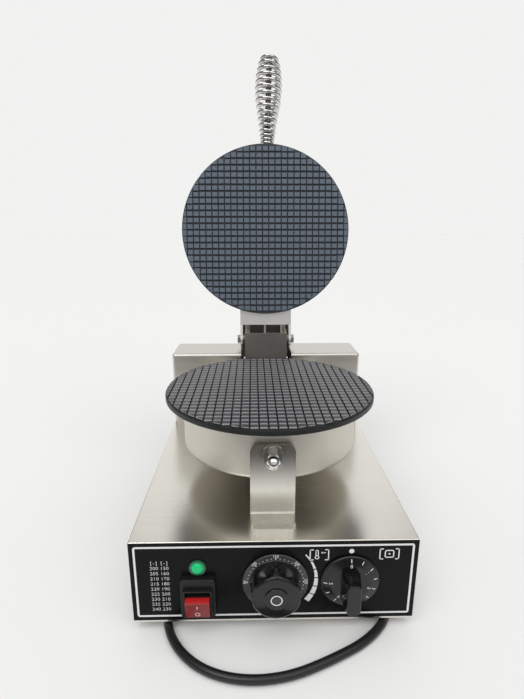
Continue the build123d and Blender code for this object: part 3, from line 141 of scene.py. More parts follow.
def ray_kinds(tree):
    """1 or 0 for what the eye sees straight or through glass, and for what it sees in a mirror."""
    path = tree.nodes.new("ShaderNodeLightPath")
    seen = [Wire(tree, path.outputs[name]) for name in ("Is Camera Ray", "Is Transmission Ray", "Is Glossy Ray")]
    return seen[0].math("MAXIMUM", seen[1]), seen[2]


class Finish:
    """A material with one Principled shader, whose sockets take values or wires by name."""

    def __init__(self, name, **sockets):
        self.material = bpy.data.materials.new(name)
        self.material.use_nodes = True
        self.tree = self.material.node_tree
        self.shader = self.tree.nodes["Principled BSDF"]
        self.set(**sockets)

    def set(self, **sockets):
        for name, value in sockets.items():
            feed(self.tree, self.shader.inputs[name.replace("_", " ")], value)
        return self

    def node(self, kind, settings=None, inputs=None, output=0):
        return add_node(self.tree, kind, settings, inputs, output)

    def coordinate(self, kind="Object"):
        """Where a point of the piece is, in metres, or which way its surface faces there."""
        return self.node("ShaderNodeTexCoord", output=kind)

    def axis(self, vector, letter):
        """The part of a vector along X, Y or Z."""
        return self.node("ShaderNodeSeparateXYZ", {}, {"Vector": vector}, output=letter)

    def place(self, stretch=(1, 1, 1), turn=(0, 0, 0)):
        """Object coordinates in metres along a turned frame, stretched for a pattern."""
        return self.node("ShaderNodeMapping", {"vector_type": "TEXTURE"},
                         {"Vector": self.coordinate(), "Rotation": turn,
                          "Scale": tuple(1 / value for value in stretch)})

    def measured_from(self, origin, turn):
        """Object coordinates in metres from an origin, along a turned frame."""
        return self.node("ShaderNodeMapping", {"vector_type": "TEXTURE"},
                         {"Vector": self.coordinate(), "Location": tuple(origin), "Rotation": tuple(turn)})

    def noise(self, size, detail=3.0, stretch=(1, 1, 1), turn=(0, 0, 0), roughness=0.5):
        """Soft noise from 0 to 1, size in metres."""
        scale = tuple(value / size for value in stretch)
        return self.node("ShaderNodeTexNoise", {}, {"Vector": self.place(scale, turn), "Scale": 1.0,
                                                    "Detail": detail, "Roughness": roughness})

    def blend(self, mask, first, second):
        return blended(self.tree, mask, first, second)

    def bump(self, height, distance, strength=1.0):
        """Fine relief that only the light shows."""
        normal = self.node("ShaderNodeBump", {}, {"Height": height, "Distance": distance, "Strength": strength})
        return self.set(Normal=normal)


def mottled(name, size, detail, first, second, roughness, vary=0.0, **sockets):
    """A finish that wanders between two colours, and a little in its gloss, in soft patches of a size in metres."""
    finish = Finish(name, Roughness=roughness, **sockets)
    patches = finish.noise(size, detail)
    if vary:
        finish.set(Roughness=roughness + vary * patches)
    return finish.set(Base_Color=finish.blend(patches, first, second))


# The eye sees an even pale backdrop. A mirror sees a dim room, with the white wall behind the iron and some of
# the lit floor in front of it.
eased_step = {"interpolation_type": "SMOOTHSTEP"}
backdrop_grey = (0.885, 0.885, 0.878)
dim_room = (0.20, 0.195, 0.18)
room_light = 0.62

world = bpy.data.worlds.new("studio")
scene.world = world
world.use_nodes = True
sky = world.node_tree
sky.nodes.clear()
lighting = add_node(sky, "ShaderNodeBackground", {}, {"Color": (1, 1, 1), "Strength": room_light})
seen_sky = add_node(sky, "ShaderNodeBackground", {}, {"Color": backdrop_grey, "Strength": 1.0})
gaze = add_node(sky, "ShaderNodeTexCoord", output="Generated")
heading = {axis: add_node(sky, "ShaderNodeSeparateXYZ", {}, {"Vector": gaze}, output=axis) for axis in "XYZ"}
toward_wall = (0.9 * heading["Y"] + 0.1 * heading["X"] + heading["Z"] * -0.4
               + heading["X"] * heading["X"] * -2.0)
wall_share = add_node(sky, "ShaderNodeMapRange", eased_step,
                      {"Value": toward_wall, "From Min": 0.08, "From Max": 0.36})
toward_front = heading["Y"] * -1 + heading["Z"] * -0.9
front_share = add_node(sky, "ShaderNodeMapRange", eased_step,
                       {"Value": toward_front, "From Min": 0.45, "From Max": 0.75, "To Max": 0.85})
room = blended(sky, wall_share.math("MAXIMUM", front_share), dim_room, backdrop_grey)
mirrored_sky = add_node(sky, "ShaderNodeBackground", {}, {"Color": room, "Strength": 1.0})
straight_ray, mirror_ray = ray_kinds(sky)
both = add_node(sky, "ShaderNodeMixShader", {}, {0: straight_ray, 1: lighting, 2: seen_sky})
all_three = add_node(sky, "ShaderNodeMixShader", {}, {0: mirror_ray, 1: both, 2: mirrored_sky})
add_node(sky, "ShaderNodeOutputWorld", {}, {"Surface": all_three})

for name, height_turn, side_turn, power, spread in (
        ("window left", 38, -35, 0.85, 40), ("window right", 44, 40, 0.55, 50), ("ceiling", 8, 10, 0.5, 60)):
    bpy.ops.object.light_add(type="SUN", rotation=(math.radians(height_turn), 0, math.radians(side_turn)))
    sun = bpy.context.object
    sun.name = name
    sun.data.energy = power
    sun.data.angle = math.radians(spread)

# In a mirror the table ends a little in front of the iron, and the dark room below it shows.
bpy.ops.mesh.primitive_plane_add(size=40, location=(0, 0, 0))
table = bpy.context.object
table.name = "table"
table_edge, table_fade = -0.32, 0.07
table_white, below_table = (0.815, 0.815, 0.805), (0.08, 0.077, 0.070)
white_table = Finish("white_table", Roughness=0.9, Specular_IOR_Level=0.1)
past_edge = white_table.node("ShaderNodeMapRange", eased_step,
                             {"Value": white_table.axis(white_table.coordinate(), "Y"),
                              "From Min": table_edge, "From Max": table_edge - table_fade})
white_table.set(Base_Color=white_table.blend(past_edge * ray_kinds(white_table.tree)[1], table_white, below_table))
table.data.materials.append(white_table.material)


# ---- the mains cord: black rubber, three wires inside, with its plug -------------------------------------
# It leaves the back of the base through the gland, turns under the base, loops out in front and back under it,
# and its spare length is wound into a small coil behind the machine, with the plug beside it.
cord_radius = 0.0037
cord_height = cord_radius + 0.0002
base_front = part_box("base_shell")[0][1]
gland_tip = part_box("cord_gland")[1][1] - base_front
gland_x, gland_height = -0.078, 0.0335
cord_in_boot = 0.014
coil_x, coil_y = 0.072, 0.374
coil_radius, coil_turns, coil_steps = 0.040, 2, 14


def dress(finish, *nodes):
    """Gives the CAD pieces of these names a finish."""
    for name in nodes:
        slots = frame["nodes"][name].data.materials
        slots.clear()
        slots.append(finish.material)


def rubber_finish(name, grey, gloss=0.46):
    """Matte black rubber with a faint dusty bloom and the fine grain of its mould."""
    rubber = mottled(name, 0.012, 4, (grey, grey, grey), (grey * 1.8, grey * 1.8, grey * 1.75), gloss, vary=0.16)
    return rubber.bump(rubber.noise(0.0006, detail=2), 0.00005, 0.5)


def pick(*objects):
    """Selects these objects only, and makes the first the active one."""
    bpy.ops.object.select_all(action="DESELECT")
    bpy.context.view_layer.objects.active = next(iter(objects), None)
    for chosen in objects:
        chosen.select_set(True)


def tube_along(name, radius, runs, steps_along, steps_round):
    """A round tube with closed ends along each run of points."""
    pick()
    bpy.ops.curve.primitive_bezier_curve_add(location=(0, 0, 0))
    tube = bpy.context.object
    tube.name = name
    tube.data.splines.clear()
    for run in runs:
        line = tube.data.splines.new("NURBS")
        line.points.add(len(run) - 1)
        for point, place in zip(line.points, run):
            point.co = (*place, 1)
        line.order_u = 3
        line.use_endpoint_u = True
        line.resolution_u = steps_along
    tube.data.dimensions = "3D"
    tube.data.bevel_depth = radius
    tube.data.bevel_resolution = steps_round
    tube.data.use_fill_caps = True
    return tube


def on_route(x, y, z):
    """A point of the cord's route, measured from the middle of the base's front edge on the table."""
    return (x, base_front + y, z)


route = [
    (gland_x, gland_tip - cord_in_boot, gland_height), (gland_x, gland_tip + 0.012, gland_height),
    (gland_x + 0.003, gland_tip + 0.042, gland_height - 0.012),
    (gland_x + 0.022, gland_tip + 0.072, cord_height + 0.005), (gland_x + 0.054, gland_tip + 0.080, cord_height),
    (gland_x + 0.082, gland_tip + 0.060, cord_height), (gland_x + 0.090, gland_tip + 0.022, cord_height),
    (gland_x + 0.084, 0.288, cord_height), (-0.016, 0.226, cord_height), (-0.050, 0.164, cord_height),
    (-0.076, 0.104, cord_height), (-0.085, 0.056, cord_height), (-0.0945, 0.019, cord_height),
    (-0.0855, -0.013, cord_height), (-0.061, -0.038, cord_height), (-0.028, -0.049, cord_height),
    (0.008, -0.047, cord_height), (0.042, -0.034, cord_height), (0.078, -0.016, cord_height),
    (0.102, 0.010, cord_height), (0.098, 0.040, cord_height), (0.082, 0.074, cord_height),
    (0.067, 0.126, cord_height), (0.063, 0.186, cord_height), (0.074, 0.244, cord_height),
    (0.098, 0.292, cord_height), (coil_x + coil_radius - 0.001, coil_y - 0.040, cord_height),
]
for step in range(coil_turns * coil_steps + 1):
    turned = step / coil_steps
    radius = coil_radius + cord_radius * (1 - 2 * min(max(turned - 0.5, 0.0), 1.0))
    rise = 2 * cord_radius * min(max((turned - coil_turns) * 4 + 1, 0.0), 1.0)
    route.append((coil_x + radius * math.cos(math.tau * turned), coil_y + radius * math.sin(math.tau * turned),
                  cord_height + rise))
plug_height = 0.0122
tail_x = coil_x + coil_radius
route += [
    (tail_x, coil_y + 0.024, cord_height + 2 * cord_radius), (tail_x - 0.007, coil_y + 0.044, plug_height + 0.001),
    (tail_x - 0.024, coil_y + 0.061, plug_height), (tail_x - 0.046, coil_y + 0.066, plug_height),
]

cord = tube_along("mains_cord", cord_radius, [[on_route(*place) for place in route]], 8, 5)
cord_rubber = rubber_finish("cord_rubber", 0.006, gloss=0.22)
cord.data.materials.append(cord_rubber.material)
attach(cord, "root")
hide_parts("power_cord", "cord_coil", "cord_tail")
dress(cord_rubber, "power_plug", "cord_gland")
on_route(gland_x, gland_tip - cord_in_boot, gland_height)


# ---- the base: a folded stainless box with a bottom pan, four rubber feet and their fasteners -------------
# The box is one sheet of 1.2 mm stainless, brushed from side to side, folded down on four sides and open
# below. The pan closes it and is held by screws through its rim, and the feet are bolted to the pan.
def brushed_steel(name, grain, gloss, light=1.0, warmth=0.90, shade=None):
    """Brushed stainless: fine long lines, a cloudy sheen between them, and a slightly warm grey."""
    steel = Finish(name, Metallic=1.0)
    lines = steel.noise(0.0007, detail=3, stretch=grain, roughness=0.7)
    bands = steel.noise(0.006, detail=2, stretch=grain)
    clouds = steel.noise(0.07, detail=3)
    bright = (light, light * 0.975, light * warmth)
    dull = tuple(value * 0.80 for value in bright)
    colour = shade(steel, lines) if shade else steel.blend(0.45 * lines + 0.3 * bands + 0.25 * clouds, dull, bright)
    steel.set(Base_Color=colour, Roughness=gloss + 0.10 * bands + 0.10 * clouds)
    return steel.bump(lines, 0.00003, 0.2)


over_and_down = (0.01, 1, 0.01)
base_steel = brushed_steel("base_steel", over_and_down, gloss=0.15, light=0.94)
dress(base_steel, "base_shell", "base_pan")


def plated(name, light, roughness=0.14, tint=(1, 1, 0.985)):
    """Bright nickel or zinc plate on small hardware, with faint cloudy wear."""
    clean = tuple(light * value for value in tint)
    pad_sheen_and_wear = tuple(0.82 * value for value in clean)
    return mottled(name, 0.004, 4, pad_sheen_and_wear, clean, roughness, vary=0.12, Metallic=1.0)


bright_plate = plated("bright_plate", 0.83)
dress(bright_plate, "base_fasteners", "earth_stud", "plug_pins")
foot_rubber = rubber_finish("foot_rubber", 0.02)
dress(foot_rubber, "rubber_feet")


# ---- the front film: a gloss black label stuck over the whole front ---------------------------------------
# It is 0.4 mm of printed polycarbonate, punched for the switch, the lamp and the two bushings. Its white print
# is a frame line, a table of numbers, two pictograms, a growing scale round the right of the first dial and a dot.
def moulded(name, grey, roughness, coat=0.0, shine=0.5):
    """Moulded plastic: a slight mottle in its gloss and a fine spark-eroded grain."""
    plastic = mottled(name, 0.008, 3, (grey, grey, grey), (grey * 1.5, grey * 1.5, grey * 1.55), roughness,
                      vary=0.10, Coat_Weight=coat, Coat_Roughness=0.08, Specular_IOR_Level=shine)
    return plastic.bump(plastic.noise(0.00025, detail=2), 0.00002, 0.3)


film_black = moulded("film_black", 0.005, 0.22, shine=0.10)
dress(film_black, "front_film")

film_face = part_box("front_film")[0][1]
panel_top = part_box("base_shell")[1][2]
ink_thickness = 0.00006
white_ink = mottled("white_ink", 0.0015, 4, (0.66, 0.67, 0.68), (0.80, 0.80, 0.80), 0.45)


def stand_print(made, x, drop, turn=0.0):
    """Stands a flat shape, drawn lying down at the origin, on the front and turns it on its face."""
    made.matrix_world = (Matrix.Translation((x, 0, panel_top - drop)) @ Matrix.Rotation(-turn, 4, "Y")
                         @ Matrix.Rotation(math.radians(90), 4, "X"))
    pick(made)
    bpy.ops.object.transform_apply(location=True, rotation=True, scale=True)
    return made


def bar_print(x, drop, width, height, turn=0.0, centre=(0, 0)):
    """A filled bar of ink."""
    bpy.ops.mesh.primitive_plane_add(size=1, location=(0, 0, 0))
    bar = bpy.context.object
    bar.data.transform(Matrix.Translation((*centre, 0)) @ Matrix.Diagonal((width, height, 1, 1)))
    return stand_print(bar, x, drop, turn)


def frame_print(x, drop, width, height, line, radius):
    """A line of ink round a rounded rectangle: a rounded plane with its inset middle removed."""
    bpy.ops.mesh.primitive_plane_add(size=1, location=(0, 0, 0))
    ring = bpy.context.object
    ring.data.transform(Matrix.Diagonal((width, height, 1, 1)))
    bpy.ops.object.mode_set(mode="EDIT")
    bpy.ops.mesh.select_all(action="SELECT")
    bpy.ops.mesh.bevel(offset=radius, segments=6, affect="VERTICES")
    bpy.ops.mesh.select_mode(type="FACE")
    bpy.ops.mesh.select_all(action="SELECT")
    bpy.ops.mesh.inset(thickness=line)
    bpy.ops.mesh.delete(type="FACE")
    bpy.ops.object.mode_set(mode="OBJECT")
    return stand_print(ring, x, drop)


def dot_print(x, drop, radius, centre=(0, 0), turn=0.0, sides=20):
    """A round dot of ink, its centre moved on its face before it is turned about x and drop."""
    bpy.ops.mesh.primitive_circle_add(vertices=sides, radius=radius, fill_type="NGON", location=(0, 0, 0))
    dot = bpy.context.object
    dot.data.transform(Matrix.Translation((*centre, 0)))
    return stand_print(dot, x, drop, turn)


def text_print(words, x, drop, height, turn=0.0, centre=(0, 0), squeeze=1.0, weight=0.0, spacing=1.0):
    """Plain figures in ink, centred on their place."""
    bpy.ops.object.text_add(location=(0, 0, 0))
    text = bpy.context.object
    text.data.body = words
    text.data.size = height / 0.7
    text.data.space_character = spacing
    text.data.align_x = "CENTER"
    text.data.align_y = "CENTER"
    text.data.resolution_u = 3
    text.data.offset = weight
    pick(text)
    bpy.ops.object.convert(target="MESH")
    text.data.transform(Matrix.Translation((*centre, 0)) @ Matrix.Diagonal((squeeze, 1, 1, 1)))
    return stand_print(text, x, drop, turn)


def ring_print(x, drop, inner, outer, start, end, steps):
    """A stretch of a ring of ink. Angles run clockwise from the top, and the width may change along it."""
    mesh = bpy.data.meshes.new("ring")
    rows = []
    for step in range(steps + 1):
        share = step / steps
        angle = math.radians(start + (end - start) * share)
        low = inner[0] + (inner[1] - inner[0]) * share
        rows += [(low * math.sin(angle), low * math.cos(angle), 0),
                 (outer * math.sin(angle), outer * math.cos(angle), 0)]
    faces = [(2 * n, 2 * n + 2, 2 * n + 3, 2 * n + 1) for n in range(steps)]
    if end > start:
        faces = [face[::-1] for face in faces]
    mesh.from_pydata(rows, [], faces)
    ring = bpy.data.objects.new("ring", mesh)
    scene.collection.objects.link(ring)
    return stand_print(ring, x, drop)


def print_piece(name, marks, face_y, body):
    """Joins marks of ink into one piece, gives them the thickness of ink and lays them on their face."""
    pick(*marks)
    bpy.ops.object.join()
    piece = bpy.context.object
    piece.name = name
    bpy.ops.object.mode_set(mode="EDIT")
    bpy.ops.mesh.select_all(action="SELECT")
    bpy.ops.mesh.remove_doubles(threshold=0.000002)
    bpy.ops.object.mode_set(mode="OBJECT")
    flip = [polygon.index for polygon in piece.data.polygons if polygon.normal.y > 0]
    if flip:
        working = bmesh.new()
        working.from_mesh(piece.data)
        working.faces.ensure_lookup_table()
        bmesh.ops.reverse_faces(working, faces=[working.faces[index] for index in flip])
        working.to_mesh(piece.data)
        working.free()
    thicken = piece.modifiers.new("ink", "SOLIDIFY")
    thicken.thickness = ink_thickness
    thicken.offset = 1.0
    bpy.ops.object.modifier_apply(modifier="ink")
    piece.data.transform(Matrix.Translation((0, face_y, 0)))
    piece.data.materials.clear()
    piece.data.materials.append(white_ink.material)
    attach(piece, body)
    return piece


thermostat_x, timer_x, control_drop = 0.001, 0.0625, 0.03775
frame_left, frame_top, frame_bottom, frame_line = 0.1142, 0.0036, 0.0722, 0.0017
marks = [frame_print(0, (frame_top + frame_bottom) / 2, 2 * frame_left, frame_bottom - frame_top, frame_line, 0.0022)]

table_columns, table_top, table_pitch, figure_height = (-0.0980, -0.0894), 0.0192, 0.00505, 0.0030
for column, first, step in ((0, 200, 5), (1, 150, 10)):
    marks.append(text_print("[ - ]", table_columns[column], table_top, figure_height, squeeze=0.85))
    for row in range(1, 10):
        marks.append(text_print(str(first + step * (row - 1)), table_columns[column], table_top + row * table_pitch,
                                figure_height, squeeze=1.1, weight=-0.00004, spacing=1.02))

sign_line, sign_drop, sign_height = 0.0009, 0.0132, 0.0104
sign_edges = ((0.0291, 0.0441), (0.0861, 0.1016))
hook_length, hook_middle, hook_drops = 0.0033, 0.0012, (0.0084, 0.0180)
for left, right in sign_edges:
    for x, inward in ((left, 1), (right, -1)):
        marks.append(bar_print(x, sign_drop, sign_line, sign_height))
        for drop in hook_drops:
            marks.append(bar_print(x + inward * hook_middle, drop, hook_length, sign_line))
glass_x, bulb_drop, tube_drop, degree_drop, thin_line = 0.0347, 0.0156, 0.0115, 0.0112, 0.0007
bulb_inner, bulb_outer, bulb_neck = 0.0011, 0.0019, 28
marks.append(ring_print(glass_x, bulb_drop, (bulb_inner, bulb_inner), bulb_outer, bulb_neck, 360 - bulb_neck, 16))
marks.append(frame_print(glass_x, tube_drop, 0.0026, 0.0058, thin_line, 0.0009))
marks.append(ring_print(glass_x + 0.0042, degree_drop, (0.0003, 0.0003), 0.0008, 0, 360, 12))
marks.append(bar_print(glass_x + 0.0062, degree_drop, 0.0016, thin_line))
clock_x = sum(sign_edges[1]) / 2
marks.append(frame_print(clock_x, sign_drop, 0.0078, 0.0074, 0.0009, 0.0018))
marks.append(dot_print(clock_x, sign_drop, 0.0008))

scale_blocks, scale_start, scale_end, scale_gap = 6, 44.5, 129.0, 1.6
scale_outer, scale_thin, scale_growth = 0.0352, 0.0009, 0.0040
for block in range(scale_blocks):
    span = (scale_end - scale_start) / scale_blocks
    begin, finish = scale_start + span * block, scale_start + span * (block + 1) - scale_gap
    widths = [scale_thin + scale_growth * (angle - scale_start) / (scale_end - scale_start)
              for angle in (begin, finish)]
    marks.append(ring_print(thermostat_x, control_drop, tuple(scale_outer - width for width in widths),
                            scale_outer, begin, finish, 6))
dot_x, dot_drop, dot_radius = 0.06285, 0.0101, 0.0021
marks.append(dot_print(dot_x, dot_drop, dot_radius, sides=32))
print_piece("panel_print", marks, film_face, "root")


# ---- the pilot lamp: a clear green cap on a round body, clipped in through the film ------------------------
# The cap is moulded styrene, domed, with a bright ring where the light leaves its edge. It glows while the
# heaters draw current. Two tags stand out of the body behind the front.
lamp_glow = mottled("lamp_glow", 0.0018, 3, (0.002, 0.22, 0.08), (0.01, 0.38, 0.16), 0.2, Specular_IOR_Level=0.3,
                    Coat_Weight=0.15, Coat_Roughness=0.05, Emission_Color=(0.002, 0.66, 0.18), Emission_Strength=0.34)
dress(lamp_glow, "pilot_lamp_lens")
lamp_ring = mottled("lamp_ring", 0.002, 2, (0.005, 0.07, 0.030), (0.020, 0.16, 0.075), 0.25, Coat_Weight=0.3)
dress(lamp_ring, "pilot_lamp_body")


# ---- the mains switch: a stepped black housing and a tilting button with a clear red cap -------------------
# The housing snaps into a rectangular hole. The button turns on a small axle across its well, its upper
# half standing out, and its cap carries a bar and a ring for on and off.
switch_plastic = moulded("switch_plastic", 0.008, 0.32, shine=0.3)
dress(switch_plastic, "switch_body")
button_face, cap_depth, cap_front = 0.015, 0.0058, 0.0006
button_tilt = math.radians(12)


def joint_named(name):
    return next(joint for joint in frame["joints"] if joint["name"] == name)


button_pivot = Vector(joint_named("rocker_tilt")["pos_m"])
# The clear red cap carries painted light: a faint red glow, though the switch has no lamp, and side walls painted
# brighter red than its face for light from above passing through the red.
rocker_red = Finish("rocker_red", Specular_IOR_Level=0.3, Coat_Weight=0.25, Coat_Roughness=0.12,
                    Emission_Strength=0.25)
depth_in = rocker_red.axis(rocker_red.measured_from(button_pivot, (button_tilt, 0, 0)), "Y")
in_cap, on_front = depth_in < cap_depth - button_face, depth_in < cap_front - button_face
haze = rocker_red.noise(0.0035, detail=4)
cap_face_red = rocker_red.blend(haze, (0.14, 0.010, 0.012), (0.18, 0.036, 0.040))
cap_red_painted_light = rocker_red.blend(on_front, (0.38, 0.010, 0.012), cap_face_red)
rocker_red.set(Base_Color=rocker_red.blend(in_cap, (0.012, 0.010, 0.010), cap_red_painted_light), Roughness=0.25 + 0.2 * haze,
               Emission_Color=rocker_red.blend(in_cap, (0, 0, 0), (0.22, 0.004, 0.004)))
dress(rocker_red, "switch_rocker")

bar_drop, bar_width, bar_height = -0.0040, 0.0010, 0.0034
ring_drop, ring_inner, ring_outer = 0.0042, 0.0014, 0.0022
bar_mark = bar_print(0, bar_drop, bar_width, bar_height)
ring_mark = ring_print(0, ring_drop, (ring_inner, ring_inner), ring_outer, 0, 360, 28)
rocker_marks = print_piece("rocker_marks", [bar_mark, ring_mark], 0, "rocker")
ink_gap = 0.00001
rocker_marks.data.transform(Matrix.Translation(button_pivot) @ Matrix.Rotation(button_tilt, 4, "X")
                            @ Matrix.Translation((0, -button_face - ink_gap, -panel_top)))
faded_ink = mottled("faded_ink", 0.001, 3, (0.60, 0.38, 0.38), (0.70, 0.50, 0.49), 0.4)
rocker_marks.data.materials.clear()
rocker_marks.data.materials.append(faded_ink.material)


# ---- the thermostat's knob: black phenolic, a dial ring with white figures and a grip with six scoops ------
# It is pressed on the thermostat's shaft in front of its nut. The scoops are deep behind the grip's round front
# edge and nearly fade out at it. The figures run from 50 to 300, and the one at the top is the temperature set.
knob_low, knob_high = (Vector(corner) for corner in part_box("thermostat_knob"))
knob_depth = knob_high.y - knob_low.y
knob_plastic = Finish("knob_plastic", Coat_Weight=0.45, Coat_Roughness=0.08, Specular_IOR_Level=0.3)
# The dial ring near the film is painted a lighter grey than the black grip: painted sheen on the black phenolic.
on_dial = knob_plastic.axis(knob_plastic.coordinate(), "Y") > knob_high.y - 0.0012
knob_plastic.set(Base_Color=knob_plastic.blend(on_dial, (0.004, 0.004, 0.004), (0.048, 0.048, 0.050)),
                 Roughness=0.20 + 0.10 * knob_plastic.noise(0.008, detail=3) + 0.14 * on_dial)
knob_plastic.bump(knob_plastic.noise(0.00025, detail=2), 0.00002, 0.3)
dress(knob_plastic, "timer_knob")
dial_radius, dial_sheet, dial_edge = 0.027, 0.0010, 0.0003
bore_radius, bore_end, nut_room, nut_room_depth = 0.0030, knob_depth - 0.0060, 0.0085, 0.0016
grip_root, grip_edge, edge_round, hub_radius, hub_step = 0.0212, 0.0202, 0.0026, 0.0098, 0.0012
cap_seat, cap_seat_depth = 0.00505, 0.0015
grip_sides, wall_rings = 168, 14
scoops, scoop_depth, scoop_middle, scoop_spread = 6, 0.0050, 0.55, 0.24


def select_rim(mesh_object):
    """Selects the open edges of a sheet, in edit mode."""
    working = bmesh.from_edit_mesh(mesh_object.data)
    bpy.ops.mesh.select_all(action="DESELECT")
    for edge in working.edges:
        edge.select_set(edge.is_boundary)
    working.select_flush(False)
    bmesh.update_edit_mesh(mesh_object.data)


def turn_loops(mesh_object, start, profile):
    """Extrudes a sheet's open round edge through a profile of radii and heights, then closes it."""
    radius, height = start
    select_rim(mesh_object)
    for next_radius, next_height in profile:
        bpy.ops.mesh.extrude_edges_move()
        factor = next_radius / radius
        bpy.ops.transform.resize(value=(factor, factor, 1), center_override=(0, 0, 0))
        bpy.ops.transform.translate(value=(0, 0, next_height - height))
        radius, height = next_radius, next_height
    bpy.ops.mesh.edge_face_add()


grip_front = knob_depth - hub_step
wall_top = grip_front - edge_round
wall_foot = dial_sheet + dial_edge
hub_blend, hub_dip = 0.002, 0.0003
profile = [(bore_radius, nut_room_depth), (nut_room, nut_room_depth), (nut_room, 0), (dial_radius - dial_edge, 0),
           (dial_radius, dial_edge), (dial_radius, dial_sheet - dial_edge), (dial_radius - dial_edge, dial_sheet),
           (grip_root + dial_edge, dial_sheet)]
profile += [(grip_root + (grip_edge - grip_root) * ring / wall_rings,
             wall_foot + (wall_top - wall_foot) * ring / wall_rings) for ring in range(wall_rings + 1)]
profile += [(grip_edge - edge_round * (1 - math.cos(math.radians(angle))),
             wall_top + edge_round * math.sin(math.radians(angle))) for angle in (22.5, 45, 67.5, 90)]
profile += [(hub_radius + hub_blend, grip_front - hub_dip), (hub_radius, grip_front),
            (hub_radius, knob_depth - dial_edge), (hub_radius - dial_edge, knob_depth), (cap_seat, knob_depth),
            (cap_seat, knob_depth - cap_seat_depth)]
pick()
bpy.ops.mesh.primitive_circle_add(vertices=grip_sides, radius=bore_radius, fill_type="NGON", location=(0, 0, 0))
grip_knob = bpy.context.object
grip_knob.name = "grip_knob"
bpy.ops.object.mode_set(mode="EDIT")
turn_loops(grip_knob, (bore_radius, 0), [(radius, height - bore_end) for radius, height in profile])
bpy.ops.mesh.select_all(action="SELECT")
bpy.ops.mesh.normals_make_consistent(inside=False)
bpy.ops.object.mode_set(mode="OBJECT")
for vertex in grip_knob.data.vertices:
    reach, height = math.hypot(vertex.co.x, vertex.co.y), vertex.co.z + bore_end
    if hub_radius + 1.5 * hub_blend < reach < grip_root + dial_edge / 2 and height > dial_sheet:
        share = (height - dial_sheet) / (grip_front - dial_sheet)
        lobe = 0.5 - 0.5 * math.cos(scoops * math.atan2(vertex.co.x, vertex.co.y))
        drawn_in = 1 - scoop_depth * math.exp(-((share - scoop_middle) / scoop_spread) ** 2) * lobe / reach
        vertex.co.x *= drawn_in
        vertex.co.y *= drawn_in
bpy.ops.object.shade_smooth_by_angle(angle=math.radians(35))
grip_knob.data.transform(Matrix.Translation((thermostat_x, knob_high.y - bore_end, panel_top - control_drop))
                         @ Matrix.Rotation(math.radians(90), 4, "X"))
grip_knob.data.materials.append(knob_plastic.material)
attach(grip_knob, "thermostat")
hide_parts("thermostat_knob")
cap_plastic = moulded("cap_plastic", 0.012, 0.18, coat=0.4)
dress(cap_plastic, "thermostat_knob_cap")
dress(bright_plate, "thermostat_shaft", "timer_shaft", "control_nuts")

dial_face = knob_high.y - dial_sheet
dial_dot_radius, dial_figure_radius, dial_figure_height, dial_dot_step = 0.0231, 0.0250, 0.0026, 8.8
big_dot, small_dot = 0.00062, 0.00040
marks = []
for position, figure in zip((-132, -88, -44, 0, 44, 88), (300, 250, 200, 150, 100, 50)):
    marks.append(text_print(str(figure), thermostat_x, control_drop, dial_figure_height,
                            turn=math.radians(position), centre=(0, dial_figure_radius), squeeze=0.9, weight=0.00003))
for step in range(-15, 11):
    marks.append(dot_print(thermostat_x, control_drop, small_dot if step % 5 else big_dot,
                           centre=(0, dial_dot_radius), turn=math.radians(step * dial_dot_step), sides=12))
print_piece("thermostat_print", marks, dial_face, "thermostat")

cap_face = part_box("thermostat_knob_cap")[0][1]
badge_inner, badge_outer = 0.0039, 0.0047
badge = ring_print(thermostat_x, control_drop, (badge_inner, badge_inner), badge_outer, 0, 360, 40)
print_piece("cap_ring", [badge], cap_face, "thermostat")


# ---- the timer's knob: black phenolic, a sloped skirt with white ticks and a flared bar to turn it by -------
# It is pressed on the clockwork timer's shaft. The ticks stand half a minute apart, with a figure at each
# whole minute, and run down to 0 under the white dot.
skirt_front = film_face - 0.0044
rim_front = film_face - 0.0028
skirt_flat, skirt_rim = 0.0165, 0.0232
tick_inner, tick_outer, tick_width, tick_angle = 0.0192, 0.0222, 0.0007, 27
minute_radius, minute_height = 0.0160, 0.0030
marks = []
for tick in range(11):
    angle = math.radians(-tick_angle * tick)
    marks.append(bar_print(timer_x, control_drop, tick_width, tick_outer - tick_inner, turn=angle,
                           centre=(0, (tick_inner + tick_outer) / 2)))
    if tick % 2 == 0:
        marks.append(text_print(str(tick // 2), timer_x, control_drop, minute_height, turn=angle,
                                centre=(0, minute_radius), weight=0.00005))
timer_print = print_piece("timer_print", marks, skirt_front, "timer")
for vertex in timer_print.data.vertices:
    reach = math.hypot(vertex.co.x - timer_x, vertex.co.z - (panel_top - control_drop))
    slope = (reach - skirt_flat) / (skirt_rim - skirt_flat)
    vertex.co.y += max(slope, 0) * (rim_front - skirt_front)


# ---- inside the base: the controls' bodies, the terminal block and the leads ---------------------------------
# The thermostat and the timer hang on the front by their nuts, the block is screwed to the pan, and white
# glass-braided leads join them. A copper capillary carries the thermostat's bulb to the lower heater.
dress(switch_plastic, "thermostat_body", "timer_body")
block_plastic = moulded("block_plastic", 0.55, 0.45)
dress(block_plastic, "terminal_block")
braid = mottled("white_braid", 0.01, 3, (0.80, 0.79, 0.75), (0.90, 0.90, 0.87), 0.75, Sheen_Weight=0.3)
weave = braid.node("ShaderNodeTexVoronoi", {"feature": "F1"}, {"Vector": braid.place(), "Scale": 2200.0})
braid.bump(weave, 0.00008, 0.7)
dress(braid, "base_leads", "lower_leads", "lid_lead_tails")
drawn_copper = plated("drawn_copper", 0.80, roughness=0.25, tint=(0.95, 0.55, 0.36))
dress(drawn_copper, "thermostat_capillary")


# ---- the brackets: two bent stainless strips that hold the lower drum up ------------------------------------
# Each strip stands on the base and carries an M8 stud through the drum's wall, with a washer and nuts. The
# front stud wears a bright dome nut.
# The brackets' steel carries painted shade: darker toward the drum under the plate's overhang, and darker on the
# foot.
shade_starts, shade_full, foot_height = 0.36, 0.86, 0.0032


